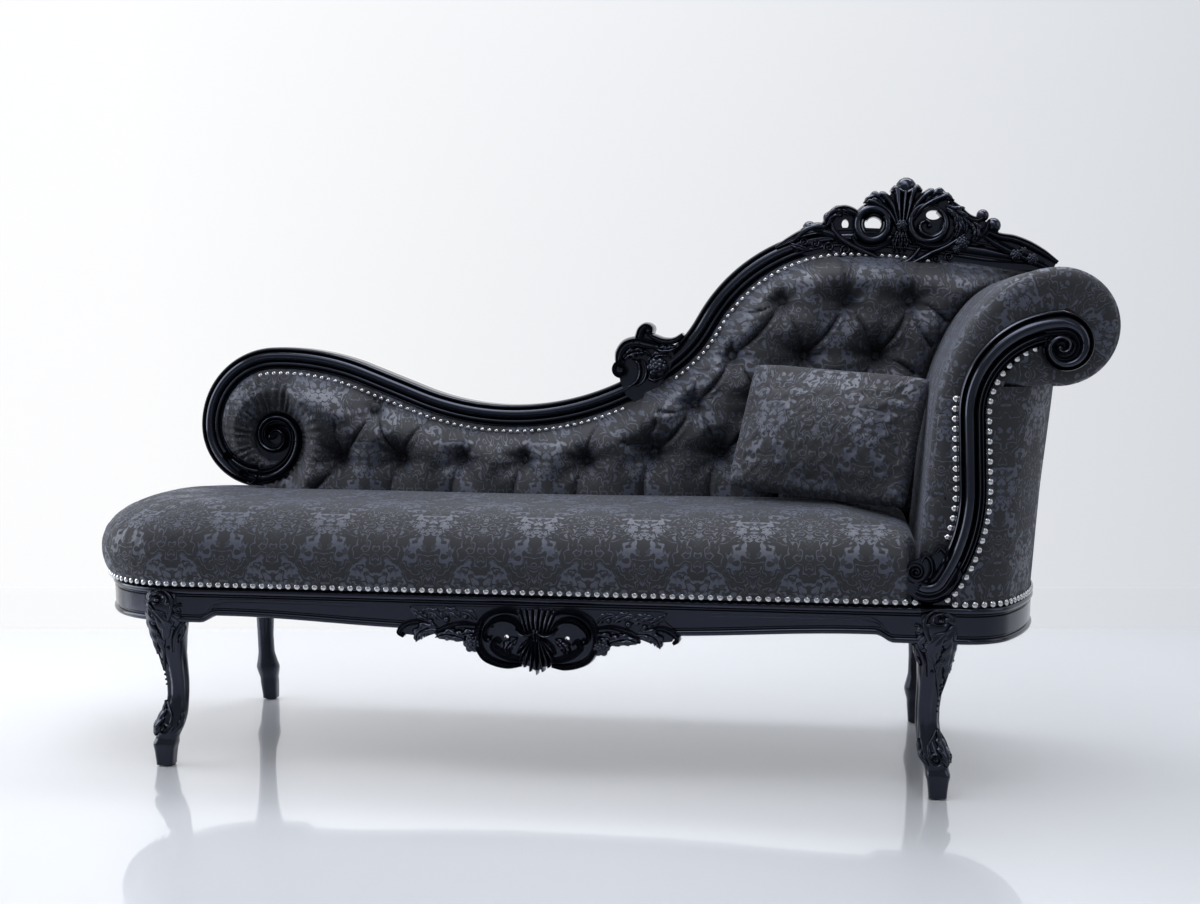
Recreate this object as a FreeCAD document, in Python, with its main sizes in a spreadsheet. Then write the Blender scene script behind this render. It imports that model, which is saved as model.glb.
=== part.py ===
# Chaise longue with a show-wood back rail, a scrolled head end and a deep-buttoned back.
# Frame: millimetres, +Z up, +X towards the head end, front towards -Y.
# The origin lies on the floor below the middle of the bounding box.
import FreeCAD, Part
import Sketcher
import math
import os
import re
from types import SimpleNamespace

Vec = FreeCAD.Vector
doc = FreeCAD.newDocument("ChaiseLongue")
sheet = doc.addObject("Spreadsheet::Sheet", "Sizes")

# Driving dimensions, in millimetres and degrees
SIZES = [
    ("foot_leg_x", -712), ("head_leg_x", 630), ("leg_side_y", 235), ("leg_block", 60),
    ("leg_flats", 14),
    ("glide_radius", 11), ("glide_height", 3),
    ("rail_face", 262), ("rail_thick", 40), ("rail_under", 264), ("rail_top", 326),
    ("tack_top", 372), ("tack_setback", 12), ("bead_proud", 4), ("bead_height", 12),
    ("arch_rise", 14), ("arch_foot_x", -490), ("arch_head_x", 425), ("arch_span", 370),
    ("foot_curve_x", -687), ("foot_corner", 180), ("foot_corner_turn", 55),
    ("head_curve_x", 675), ("head_corner", 90), ("head_corner_turn", 60),
    ("fit_gap", 0.3), ("pad_gap", 0.4),
    # Seat
    ("brace_wide", 25), ("brace_deep", 50), ("brace_lift", 2), ("brace_pitch", 360),
    ("web_wide", 50), ("web_thick", 2), ("web_pitch", 110), ("web_count", 12),
    ("deck_thick", 2.5), ("cover_thick", 2), ("cover_lift", 3),
    ("seat_crown", 463), ("seat_bulge", 24), ("seat_right_x", 598), ("seat_rear_y", 128),
    ("seat_notch_x", -690), ("seat_front_end_x", 584),
    # Back
    ("back_front", 209), ("back_rear", 255), ("low_wide", 50), ("high_wide", 49),
    ("pad_rear", 215), ("pad_front", 134), ("pad_round", 62), ("pad_tuck", 12),
    ("post_wide", 45), ("back_beam_deep", 40), ("lining_thick", 2),
    ("button_radius", 12), ("button_high", 8), ("tuft_radius", 42), ("tuft_deep", 34),
    ("volute_radius", 66),
    # Head end
    ("head_front", -258), ("head_rear", 217.7), ("head_pad_thick", 45), ("head_round", 24),
    ("head_left_x", 600.7), ("head_lean", 85.2), ("head_straight", 265.3),
    ("head_sweep_radius", 330.3), ("head_sweep_turn", 37),
    ("head_neck_radius", 152.6), ("head_neck_turn", 48), ("roll_radius", 96.9),
    ("board_thick", 12), ("head_board_thick", 17), ("boss_shift", 7), ("facing_wide", 42), ("facing_front", -286), ("facing_seat", -251.5),
    ("panel_face", 260.5), ("panel_thick", 8), ("panel_top", 689.5), ("panel_flare", 31),
    ("panel_foot_x", 655), ("panel_lean", 35), ("boss_radius", 36), ("leaf_radius", 35),
    ("roll_return", 95),
    # Ornaments
    ("apron_x", -38), ("apron_front", -286), ("apron_thick", 9),
    ("ring_spread", 85), ("ring_radius", 27), ("ring_wire", 9), ("ring_high", 252),
    ("crest_front", 214), ("crest_rear", 248), ("finial_radius", 17),
    ("crest_proud", 14), ("band_proud", 9),
    # Loose cushion
    ("cushion_wide", 360), ("cushion_tall", 256), ("cushion_thick", 108),
    ("cushion_yaw", -27), ("cushion_lean", 14), ("cushion_x", 440), ("cushion_y", -22),
]

# Front leg stations: height, outward step along the diagonal, radius
FRONT_LEG = [
    ("sole", 3, 8, 16.5), ("toe", 34, 8, 20), ("instep", 52, 5, 17.5), ("scroll", 76, 3, 25),
    ("ankle", 104, -7, 18), ("shin", 150, -9, 18), ("calf", 192, 2, 22),
    ("knee", 230, 8, 28), ("cap", 266, 12, 31), ("crown", 298, 10, 31.5), ("summit", 324, 2, 23),
]
REAR_LEG = [
    ("heel", 3, 26, 16), ("hock", 40, 20, 18), ("spur", 72, 12, 25),
    ("neck", 108, 3, 17), ("stalk", 165, 0, 17), ("thigh", 225, 0, 20), ("hip", 268, 0, 27),
]
# Deep buttons: row name, height, first x, pitch, count
TUFT_ROWS = [
    ("upper", 836, 361, 120, 3), ("shoulder", 731, 266, 136, 3), ("middle", 637, 192, 134, 3),
    ("lumbar", 540, 113, 130, 4), ("lounge", 522, -520, 125, 5), ("scroll_end", 623, -454, 100, 1),
]

# Paths in the front view: start, heading, then straight runs (length,) and arcs (radius, turn)
LOW_START, LOW_HEADING = (63.7, 661.4), 206.7
LOW_STEPS = [(533.6, -48.0), (124.7,), (482.2, 23.3), (137.7, 88.0), (101.1, 90)]
HIGH_START, HIGH_HEADING = (104.3, 688.6), 25.7
HIGH_STEPS = [(247.4, 33.8), (18.5,), (306.3, -59.5), (900, -9), (232,)]
FACING_START, FACING_HEADING = (601, 359), 330
FACING_STEPS = [(30, 87), (276.7, 35), (113.4,), (140.1, -92)]
# Turns of the foot volute, from the rail's end to the eye: radius, turn and width at the end
VOLUTE_WIDE = 36
VOLUTE_TURNS = [(78, 90, 30), (40, 90, 28), (34, 90, 25), (28, 90, 21), (21, 90, 17), (15, 90, 14)]
# Centre of the volute's disc, from the low rail's tip
VOLUTE_HUB = (38, 72)

# Left edges of the hidden posts between the beam and the show-wood
POST_PLACES = (-560, -300, -40, 190, 400, 552)
# Centre of the leaf that closes the facing's foot
LEAF_AT = (622, 388)

# Seat section: share of its rise, then outward share of the bulge or millimetres drawn in
SEAT_ROLL = [(0, 0.08), (0.12, 0.62), (0.27, 0.92), (0.42, 1), (0.6, 0.86), (0.75, 0.38)]
SEAT_CROWN = [(0.87, -10), (0.95, -38), (1, -88)]

# Outlines of carved plates: corners, or pairs of a point on an arc and its end
LEAF_UPPER = [((50, 729), (66, 742)), ((71, 772), (92, 786)), ((112, 803), (130, 790))]
CREST_OUTLINE = [(398, 930), (398, 962), ((412, 992), (436, 988)), ((462, 1018), (500, 1016)),
                 ((516, 1036), (538, 1038)), ((560, 1050), (572, 1056)), (612, 1056),
                 ((642, 1045), (673, 1034)), ((690, 1018), (706, 998)), ((738, 1008), (760, 980)),
                 ((792, 956), (833, 937)), (850, 918), (850, 905), (624, 930)]
PALMETTE = [(586, 932), (560, 1030), ((572, 1052), (593, 1052)), ((614, 1052), (626, 1030)),
            (600, 932)]
# Piercings of the crest: across, height and radius
CREST_HOLES = [(541, 987, 17), (489, 985, 10), (645, 985, 19), (702, 966, 9)]
# Scroll rings of the crest: across and height; then their radius and wire
CREST_RINGS = [(541, 985), (645, 985)]
CREST_RING_RADIUS, CREST_RING_WIRE = 30, 11
# Round buds of the crest beside its finial: across, height and radius
CREST_BUDS = [(409, 980, 12), (737, 996, 10), (770, 982, 13)]
# Highest point of the chaise and the finial's middle
CREST_TOP, FINIAL_X = 1072, 593
# Raised bands of the crest: width and centre line
CREST_BANDS = [
    (12, [(456, 994), (464, 972), (480, 954), (506, 942), (536, 937), (566, 935), (592, 935),
          (618, 937), (644, 942), (668, 950), (692, 957)]),
    (11, [(404, 968), (428, 970), (450, 966), (470, 957)]),
    (12, [(766, 966), (790, 954), (812, 941), (830, 928)]),
]

# Apron: corners across from its middle and over the rail's lower edge
APRON_BACK = [(-242, 22), ((-200, 44), (-150, 42)), (150, 42), ((200, 44), (242, 22)), (150, 2),
              (-150, 2)]
SHELL = [(-40, 46), (-48, 0), (-28, -46), (0, -72), (28, -46), (48, 0), (40, 46)]
# Garland beside the apron's scrolls: reach from the middle, height over the rail, radius
GARLAND = [(134, -8, 17), (165, 6, 16), (192, 4, 14), (218, 8, 12)]
# Raised band that crosses under each scroll ring: width and centre line
APRON_BAND = (11, [(30, -46), (52, -50), (78, -48), (100, -38), (116, -20)])

# Drops under the foot end: radius, straight length and the angle between neighbours
DROP_RADIUS, DROP_LONG, DROP_STEP = 9, 10, 4.2

# Cushion: share along it, share of its height, share of its thickness
CUSHION_RINGS = [(-1, 1, 0.05), (-0.93, 0.94, 0.34), (-0.8, 0.9, 0.64), (-0.55, 0.875, 0.88),
                 (-0.2, 0.865, 1), (0.2, 0.865, 1), (0.55, 0.875, 0.88), (0.8, 0.9, 0.64),
                 (0.93, 0.94, 0.34), (1, 1, 0.05)]
# Half section of the cushion, front then back: side, share of the height, share of the swell
LENS = [(-1, up, swell) for up, swell in ((-1, 0.02), (-0.88, 0.42), (-0.62, 0.78), (-0.25, 0.98),
                                          (0.25, 0.98), (0.62, 0.78), (0.88, 0.42), (1, 0.02))]
LENS += [(1, up, swell) for side, up, swell in LENS[::-1]]


def fill_sheet():
    rows = list(SIZES)
    for prefix, stations in (("front", FRONT_LEG), ("rear", REAR_LEG)):
        for name, height, out, radius in stations:
            rows.append(("%s_%s_height" % (prefix, name), height))
            rows.append(("%s_%s_out" % (prefix, name), out))
            rows.append(("%s_%s_radius" % (prefix, name), radius))
    for index, (alias, value) in enumerate(rows, start=1):
        sheet.set("A%d" % index, alias)
        sheet.set("B%d" % index, str(value))
        sheet.setAlias("B%d" % index, alias)
    doc.recompute()
    return SimpleNamespace(**{alias: float(sheet.get(alias)) for alias, value in rows})


d = fill_sheet()
NODES = {}


def cells(text):
    """Point every size word of a formula at its cell."""
    def cell(word):
        return "Sizes." + word.group(0) if hasattr(d, word.group(0)) else word.group(0)
    return re.sub(r"[a-z][a-z_]+", cell, text)


def bind(thing, **formulas):
    for name, text in formulas.items():
        thing.setExpression(name.replace("__", "."), cells(text))


def keep(thing, node):
    thing.Label = node
    NODES[node] = thing
    return thing


def feature(node, shape, placement=None):
    """A sub-part whose form needs swept or lofted shapes set directly."""
    thing = doc.addObject("Part::Feature", node)
    thing.Shape = shape
    thing.Placement = placement or FreeCAD.Placement()
    return keep(thing, node)


def new_body(name):
    return doc.addObject("PartDesign::Body", name)


def plane_sketch(body, name, role, offset="0"):
    plane = [item for item in body.Origin.OriginFeatures if item.Role == role][0]
    sketch = body.newObject("Sketcher::SketchObject", name)
    sketch.AttachmentSupport = [(plane, "")]
    sketch.MapMode = "FlatFace"
    sketch.setExpression("AttachmentOffset.Base.z", cells(offset))
    return sketch


def polygon(sketch, corners):
    """Close a polygon whose corners are pairs of size formulas."""
    count = len(corners)
    rough = [Vec(10 * math.cos(6.28 * i / count), 10 * math.sin(6.28 * i / count), 0)
             for i in range(count)]
    for i in range(count):
        sketch.addGeometry(Part.LineSegment(rough[i], rough[(i + 1) % count]))
    for i in range(count):
        sketch.addConstraint(Sketcher.Constraint("Coincident", i, 2, (i + 1) % count, 1))
    for i, pair in enumerate(corners):
        for kind, text in zip(("DistanceX", "DistanceY"), pair):
            index = sketch.addConstraint(Sketcher.Constraint(kind, -1, 1, i, 1, 1.0))
            sketch.setExpression("Constraints[%d]" % index, cells(text))


def box(name, corner, size):
    thing = doc.addObject("Part::Box", name)
    bind(thing, Placement__Base__x=corner[0], Placement__Base__y=corner[1],
         Placement__Base__z=corner[2], Length=size[0], Width=size[1], Height=size[2])
    return thing


def group(node, members):
    """Like pieces that share one node as separate solids."""
    thing = doc.addObject("Part::Compound", node)
    thing.Links = members
    return keep(thing, node)


# Paths of straight runs and tangent arcs, and mouldings run along them

def run_path(start, heading, steps):
    """Each step is (length,) or (radius, turn), a left turn being positive."""
    u, v = start
    path = []
    for step in steps:
        angle = math.radians(heading)
        if len(step) == 1:
            end = (u + step[0] * math.cos(angle), v + step[0] * math.sin(angle))
            path.append(("line", (u, v), end, heading, None, 0))
        else:
            radius, turn = step
            side = math.copysign(1, turn)
            centre = (u - side * radius * math.sin(angle), v + side * radius * math.cos(angle))
            swing = math.radians(heading + turn)
            end = (centre[0] + side * radius * math.sin(swing),
                   centre[1] - side * radius * math.cos(swing))
            path.append(("arc", (u, v), end, heading, centre, turn))
            heading += turn
        u, v = end
    return path


def place(view, u, v, depth):
    """A point of a front view (x, z at depth y) or of a plan (x, y at height z)."""
    return Vec(u, depth, v) if view == "front" else Vec(u, v, depth)


def turn_axis(view):
    return Vec(0, -1, 0) if view == "front" else Vec(0, 0, 1)


def profile_face(view, at, heading, profile):
    """The moulding's section, stood across the path at its first point."""
    angle = math.radians(heading + 90)

    def spot(pair):
        return place(view, at[0] + pair[0] * math.cos(angle), at[1] + pair[0] * math.sin(angle),
                     pair[1])
    edges = []
    here = spot(profile[0])
    for item in list(profile[1:]) + [profile[0]]:
        if isinstance(item[0], tuple):
            there = spot(item[1])
            edges.append(Part.Arc(here, spot(item[0]), there).toShape())
        else:
            there = spot(item)
            edges.append(Part.LineSegment(here, there).toShape())
        here = there
    return Part.Face(Part.Wire(edges))


def moulding(view, path, profile):
    """A solid bar of one section that follows the path."""
    lengths = []
    for kind, start, end, heading, centre, turn in path:
        face = profile_face(view, start, heading, profile)
        if kind == "line":
            piece = face.extrude(place(view, end[0] - start[0], end[1] - start[1], 0))
        else:
            hub = place(view, centre[0], centre[1], 0)
            piece = face.revolve(hub, turn_axis(view), turn)
        if piece.Volume < 0:
            piece.reverse()
        lengths.append(piece)
    solid = lengths[0]
    if len(lengths) > 1:
        solid = solid.multiFuse(lengths[1:])
    return solid.removeSplitter()


def flat_bar(view, path, left, right, low, high):
    return moulding(view, path, [(left, low), (left, high), (right, high), (right, low)])


def path_edges(view, path, depth):
    edges = []
    for kind, start, end, heading, centre, turn in path:
        first = place(view, start[0], start[1], depth)
        last = place(view, end[0], end[1], depth)
        if kind == "line":
            edges.append(Part.LineSegment(first, last).toShape())
        else:
            radius = math.dist(start, centre)
            middle = math.radians(heading + turn / 2 - math.copysign(90, turn))
            waist = place(view, centre[0] + radius * math.cos(middle),
                          centre[1] + radius * math.sin(middle), depth)
            edges.append(Part.Arc(first, waist, last).toShape())
    return edges


def skin(rings):
    """A solid cut in flats between stacked rings that have the same number of points."""
    faces = []
    for low, high in zip(rings, rings[1:]):
        for i, near in enumerate(low):
            j = (i + 1) % len(low)
            far, above, beside = low[j], high[j], high[i]
            twist = (far - near).cross(above - near).dot(beside - near)
            if abs(twist) < 0.001:
                faces.append(Part.Face(Part.makePolygon([near, far, above, beside, near])))
            else:
                faces.append(Part.Face(Part.makePolygon([near, far, above, near])))
                faces.append(Part.Face(Part.makePolygon([near, above, beside, near])))
    for ring in (rings[0], rings[-1]):
        faces.append(Part.Face(Part.makePolygon(list(ring) + [ring[0]])))
    whole = Part.makeCompound(faces)
    whole.sewShape()
    solid = Part.Solid(whole.Shells[0])
    if solid.Volume < 0:
        solid.reverse()
    return solid


def flats(centre, across, along, radius, count):
    """Corners of a regular polygon round centre, in the plane of two directions."""
    turns = [2 * math.pi * (i + 0.5) / count for i in range(count)]
    return [centre + across * (radius * math.cos(a)) + along * (radius * math.sin(a))
            for a in turns]


def tapered(base, axis, steps, count):
    """A straight many-sided piece: steps are pairs of radius and distance along the axis."""
    across = Vec(1, 0, 0)
    along = axis.cross(across)
    return skin([flats(base + axis * far, across, along, radius, count)
                 for radius, far in steps])


def scroll_ring(hub, radius, wire, deep):
    """A carved ring, chamfered to a crest in front; hub is the middle of its seat."""
    inner, outer = radius - wire, radius + wire
    front = Vec(0, -1, 0)
    whole = tapered(hub, front, [(outer, 0), (outer, deep - wire), (radius + wire / 3, deep)], 18)
    hole = tapered(hub, front, [(inner, -1), (inner, deep - wire), (radius - wire / 3, deep + 1)],
                   18)
    return whole.cut(hole)


def ball(centre, radius):
    """A round bud cut in flats."""
    steps = [(0.34, -0.98), (0.94, -0.4), (0.94, 0.4), (0.34, 0.98)]
    return tapered(centre, Vec(0, 0, 1), [(radius * out, radius * up) for out, up in steps], 10)


def plate(outline, front, rear):
    """A board cut to a front-view outline of points and (middle, end) arcs."""
    edges = []
    here = outline[0]
    for item in list(outline[1:]) + [outline[0]]:
        first = place("front", here[0], here[1], front)
        if isinstance(item[0], tuple):
            middle = place("front", item[0][0], item[0][1], front)
            last = place("front", item[1][0], item[1][1], front)
            edges.append(Part.Arc(first, middle, last).toShape())
            here = item[1]
        else:
            edges.append(Part.LineSegment(first, place("front", item[0], item[1], front)).toShape())
            here = item
    return Part.Face(Part.Wire(edges)).extrude(Vec(0, rear - front, 0))


# Plan of the seat: straight sides, tight corners and a shallow bow at each end

def end_bow(corner, turn):
    """Radius of the end bow that joins two corner arcs and has its centre on the middle line."""
    lean = math.radians(turn)
    return (d.rail_face - corner * (1 - math.cos(lean))) / math.cos(lean)


def foot_plan(out=0, start_x=None):
    bow = end_bow(d.foot_corner, d.foot_corner_turn)
    lead = [] if start_x is None else [(start_x - d.foot_curve_x,)]
    first_x = d.foot_curve_x if start_x is None else start_x
    middle = 2 * (90 - d.foot_corner_turn)
    steps = lead + [(d.foot_corner + out, -d.foot_corner_turn), (bow + out, -middle),
                    (d.foot_corner + out, -d.foot_corner_turn)]
    return run_path((first_x, -d.rail_face - out), 180, steps)


def head_plan(out=0, shift=0, half=None):
    half = d.rail_face if half is None else half
    bow = end_bow(d.head_corner, d.head_corner_turn)
    inset = d.rail_face - half
    middle = 2 * (90 - d.head_corner_turn)
    steps = [(d.head_corner + out - inset, d.head_corner_turn), (bow + out - inset, middle),
             (d.head_corner + out - inset, d.head_corner_turn)]
    return run_path((d.head_curve_x + shift, -half - out), 0, steps)


# Seat frame

def rail_profile():
    """Section of the show-wood rail: face, top bead and the set-back tacking edge."""
    face = 0
    bead = -d.bead_proud
    cove = d.rail_top - d.bead_height
    return [(face, d.rail_under), (face, cove), (bead, cove + 2), (bead, d.rail_top - 2),
            (bead + 2, d.rail_top), (d.tack_setback, d.rail_top), (d.tack_setback, d.tack_top),
            (d.rail_thick, d.tack_top), (d.rail_thick, d.rail_under)]


def long_rail(node, side):
    """A straight seat rail, arched underneath; side is -1 in front and 1 behind."""
    sign = "-" if side < 0 else ""
    body = new_body(node + "_body")
    section = plane_sketch(body, node + "_section", "YZ_Plane", "foot_leg_x + leg_block / 2")
    face = sign + "rail_face"
    bead = sign + "(rail_face + bead_proud)"
    tack = sign + "(rail_face - tack_setback)"
    back = sign + "(rail_face - rail_thick)"
    polygon(section, [(face, "rail_under"), (face, "rail_top - bead_height"),
                      (bead, "rail_top - bead_height + bead_proud"), (bead, "rail_top - 2"),
                      (sign + "(rail_face + bead_proud - 2)", "rail_top"), (tack, "rail_top"),
                      (tack, "tack_top"), (back, "tack_top"), (back, "rail_under")])
    pad = body.newObject("PartDesign::Pad", node + "_length")
    pad.Profile = section
    bind(pad, Length="head_leg_x - foot_leg_x - leg_block")
    arches = []
    for label, middle in (("foot", "arch_foot_x"), ("head", "arch_head_x")):
        arch = doc.addObject("Part::Cylinder", "%s_%s_arch" % (node, label))
        radius = "(arch_span * arch_span / 8 / arch_rise + arch_rise / 2)"
        bind(arch, Radius=radius, Height="rail_thick + 4 * bead_proud",
             Placement__Base__x=middle, Placement__Base__z="rail_under + arch_rise - " + radius)
        arch.Placement.Rotation = FreeCAD.Rotation(Vec(1, 0, 0), 90)
        rear = "-(rail_face - rail_thick - 2 * bead_proud)" if side < 0 else \
            "rail_face + 2 * bead_proud"
        bind(arch, Placement__Base__y=rear)
        arches.append(arch)
    first = doc.addObject("Part::Cut", node + "_foot_cut")
    first.Base = body
    first.Tool = arches[0]
    rail = doc.addObject("Part::Cut", node)
    rail.Base = first
    rail.Tool = arches[1]
    keep(rail, node)


def end_rails():
    """The bowed end rails, run between the leg blocks."""
    profile = [(-a, z) for a, z in rail_profile()]
    reach = d.rail_face * 2
    foot = moulding("plan", foot_plan(), profile)
    keep_out = Part.makeBox(reach, 2 * reach, d.tack_top * 2,
                            Vec(d.foot_leg_x - d.leg_block / 2, -reach, 0))
    feature("foot_end_rail", foot.cut(keep_out).cut(knee_space(d.foot_leg_x, -1)))
    profile = rail_profile()
    lead = run_path((d.head_leg_x + d.leg_block / 2, -d.rail_face), 0,
                    [(d.head_curve_x - d.head_leg_x - d.leg_block / 2,)])
    tail = run_path((d.head_curve_x, d.rail_face), 180,
                    [(d.head_curve_x - d.head_leg_x - d.leg_block / 2,)])
    head = moulding("plan", lead + head_plan() + tail, profile)
    feature("head_end_rail", head.cut(knee_space(d.head_leg_x, 1)))


def knee_space(leg_x, lean):
    """Round cope that lets a front leg's knee into the end rail."""
    step = d.front_cap_out * math.sqrt(0.5)
    radius = d.front_crown_radius + 2
    return Part.makeCylinder(radius, d.rail_top - d.rail_under + 2,
                             Vec(leg_x + lean * step, -d.leg_side_y - step, d.rail_under - 1))


def leg(node, stations, leg_x, lean_x, side):
    """A cabriole leg carved in flats, with the block that takes the rails."""
    diagonal = math.sqrt(0.5) if side < 0 else 0
    straight = math.sqrt(0.5) if side < 0 else 1
    rings = []
    for height, out, radius in stations:
        at = Vec(leg_x + lean_x * out * diagonal, side * (d.leg_side_y + out * straight), height)
        rings.append(flats(at, Vec(1, 0, 0), Vec(0, 1, 0), radius, int(d.leg_flats)))
    parts = [skin(rings)]
    half = d.leg_block / 2
    inner = side * (d.leg_side_y - half)
    near, far = leg_x - lean_x * half, leg_x + lean_x * half
    for setback, low, high in ((0, d.rail_under, d.rail_top),
                               (d.tack_setback, d.rail_top, d.tack_top)):
        edge = d.rail_face - setback
        slope = 0
        if leg_x < 0:
            corner = d.foot_corner - setback
            slope = corner - math.sqrt(corner ** 2 - (d.foot_curve_x - far) ** 2)
        corners = [(near, inner), (near, side * edge), (far, side * (edge - slope)), (far, inner)]
        points = [Vec(x, y, low) for x, y in corners]
        face = Part.Face(Part.makePolygon(points + [points[0]]))
        parts.append(face.extrude(Vec(0, 0, high - low)))
    return feature(node, parts[0].multiFuse(parts[1:]))


def leg_stations(prefix, names):
    """Height, outward step and radius of each station, read from the sheet."""
    return [tuple(getattr(d, "%s_%s_%s" % (prefix, name, what))
                  for what in ("height", "out", "radius")) for name, *_ in names]


def legs_and_glides():
    front, rear = leg_stations("front", FRONT_LEG), leg_stations("rear", REAR_LEG)
    leg("front_foot_leg", front, d.foot_leg_x, -1, -1)
    leg("front_head_leg", front, d.head_leg_x, 1, -1)
    leg("rear_foot_leg", rear, d.foot_leg_x, -1, 1)
    leg("rear_head_leg", rear, d.head_leg_x, 1, 1)
    glides = []
    for leg_x, lean in (("foot_leg_x", "-"), ("head_leg_x", "+")):
        for side, sign, reach_x, reach_y in (("front", "-", "front_sole_out * 0.7071",
                                              "front_sole_out * 0.7071"),
                                             ("rear", "", "0", "rear_heel_out")):
            glide = doc.addObject("Part::Cylinder", "glide_%s_%s" % (side, leg_x))
            bind(glide, Radius="glide_radius", Height="glide_height",
                 Placement__Base__x="%s %s %s" % (leg_x, lean, reach_x),
                 Placement__Base__y="%s(leg_side_y + %s)" % (sign, reach_y))
            glides.append(glide)
    group("foot_glides", glides)


def seat_inside():
    """Glue blocks, braces, webbing, deck and the dust cover below."""
    cover_base = "rail_under + arch_rise + cover_lift"
    brace_base = cover_base + " + cover_thick + brace_lift"
    blocks = []
    for leg_x, lean in (("foot_leg_x", ""), ("head_leg_x", "-")):
        for side, sign in (("front", "-"), ("rear", "")):
            name = "corner_block_%s_%s" % (side, leg_x)
            body = new_body(name)
            face = plane_sketch(body, name + "_face", "XY_Plane", brace_base)
            rail = "%s(rail_face - rail_thick)" % sign
            post = "%s(leg_side_y - leg_block / 2)" % sign
            near = "%s + %sleg_block / 2" % (leg_x, lean)
            far = "%s + %sleg_block * 1.4" % (leg_x, lean)
            polygon(face, [(near, rail), (far, rail), (leg_x, "%sleg_side_y * 0.62" % sign),
                           (leg_x, post), (near, post)])
            pad = body.newObject("PartDesign::Pad", name + "_pad")
            pad.Profile = face
            bind(pad, Length="brace_deep")
            blocks.append(body)
    group("corner_blocks", blocks)
    span = "2 * (rail_face - rail_thick)"
    braces = []
    for index in (-1, 0, 1):
        middle = "(foot_leg_x + head_leg_x) / 2 + %d * brace_pitch - brace_wide / 2" % index
        braces.append(box("brace_%d" % (index + 2), (middle, "-(rail_face - rail_thick)",
                                                     brace_base),
                          ("brace_wide", span, "brace_deep")))
    group("seat_braces", braces)
    strips = []
    for index in range(int(d.web_count)):
        middle = "foot_leg_x + leg_block + %d * web_pitch" % index
        strips.append(box("web_%d" % index, (middle, "-(rail_face - tack_setback)", "tack_top"),
                          ("web_wide", "2 * (rail_face - tack_setback)", "web_thick")))
    group("seat_webbing", strips)
    inset = d.tack_setback + 1
    deck = seat_board(-inset, d.tack_top + d.web_thick, d.deck_thick)
    feature("seat_deck", deck)
    base = d.rail_under + d.arch_rise + d.cover_lift
    cover = seat_board(-d.rail_thick - 1, base, d.cover_thick)
    post = d.leg_block + 2 * d.fit_gap
    for leg_x in (d.foot_leg_x, d.head_leg_x):
        for side in (-1, 1):
            corner = Vec(leg_x - post / 2, side * d.leg_side_y - post / 2, base - 1)
            cover = cover.cut(Part.makeBox(post, post, d.cover_thick + 2, corner))
    feature("dust_cover", cover)


def seat_board(out, height, thick):
    """A thin board or cloth of the seat's plan, grown or shrunk by out."""
    foot = foot_plan(out)
    head = head_plan(out)
    edges = path_edges("plan", foot, height) + path_edges("plan", head, height)
    for first, last in ((foot[0][1], head[0][1]), (foot[-1][2], head[-1][2])):
        edges.append(Part.LineSegment(place("plan", first[0], first[1], height),
                                      place("plan", last[0], last[1], height)).toShape())
    return Part.Face(Part.Wire(Part.__sortEdges__(edges))).extrude(Vec(0, 0, thick))


# Seat upholstery

def seat_ring(out, height):
    """Outline of the seat pad at one height: three sides follow the rails, the rear stays."""
    foot = foot_plan(out)
    bow_end = foot[-1]
    centre = bow_end[4]
    radius = math.dist(bow_end[1], centre)
    notch_y = centre[1] + math.sqrt(radius ** 2 - (d.seat_notch_x - centre[0]) ** 2)
    inner = min(0, out)
    right = d.seat_right_x + inner
    rear = d.seat_rear_y + inner * 0.35
    front = -d.rail_face - out
    edges = path_edges("plan", foot[:-1], height)
    middle = math.atan2((bow_end[1][1] + notch_y) / 2 - centre[1],
                        (bow_end[1][0] + d.seat_notch_x) / 2 - centre[0])
    waist = Vec(centre[0] + radius * math.cos(middle), centre[1] + radius * math.sin(middle),
                height)
    start = Vec(bow_end[1][0], bow_end[1][1], height)
    corners = [Vec(d.seat_notch_x, notch_y, height), Vec(d.seat_notch_x, rear, height),
               Vec(right, rear, height), Vec(right, front, height),
               Vec(d.foot_curve_x, front, height)]
    edges.append(Part.Arc(start, waist, corners[0]).toShape())
    for first, last in zip(corners, corners[1:]):
        edges.append(Part.LineSegment(first, last).toShape())
    return Part.Wire(Part.__sortEdges__(edges))


def seat_pad():
    """Tight seat: rolls out over the nails, rounds over and crowns to the middle."""
    low = d.rail_top + 1
    rise = d.seat_crown - low
    steps = [(share, part * d.seat_bulge) for share, part in SEAT_ROLL] + SEAT_CROWN
    rings = [seat_ring(out, low + share * rise) for share, out in steps]
    pad = Part.makeLoft(rings, True, True)
    top = d.tack_top + d.web_thick + d.deck_thick + d.fit_gap
    inset = d.tack_setback - d.fit_gap
    core = seat_board(-inset, low - 5, top - low + 5)
    depth = 2 * d.seat_bulge
    corner = Part.makeBox(100, depth + d.rail_face + d.facing_seat, 300,
                          Vec(d.seat_front_end_x, -d.rail_face - depth + 0.5, low - 5))
    pad = pad.cut(core).cut(corner)
    half = d.low_wide / 2 + d.fit_gap
    near, far = d.back_front - d.fit_gap, d.back_rear + d.fit_gap
    pad = pad.cut(flat_bar("front", low_path(), half, -half, near, far))
    feature("seat_pad", pad.cut(volute_space(near, far, d.fit_gap)))


# Back show-wood: two moulded S-curves that meet under a carved leaf

def low_path():
    return run_path(LOW_START, LOW_HEADING, LOW_STEPS)


def high_path():
    return run_path(HIGH_START, HIGH_HEADING, HIGH_STEPS)


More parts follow.
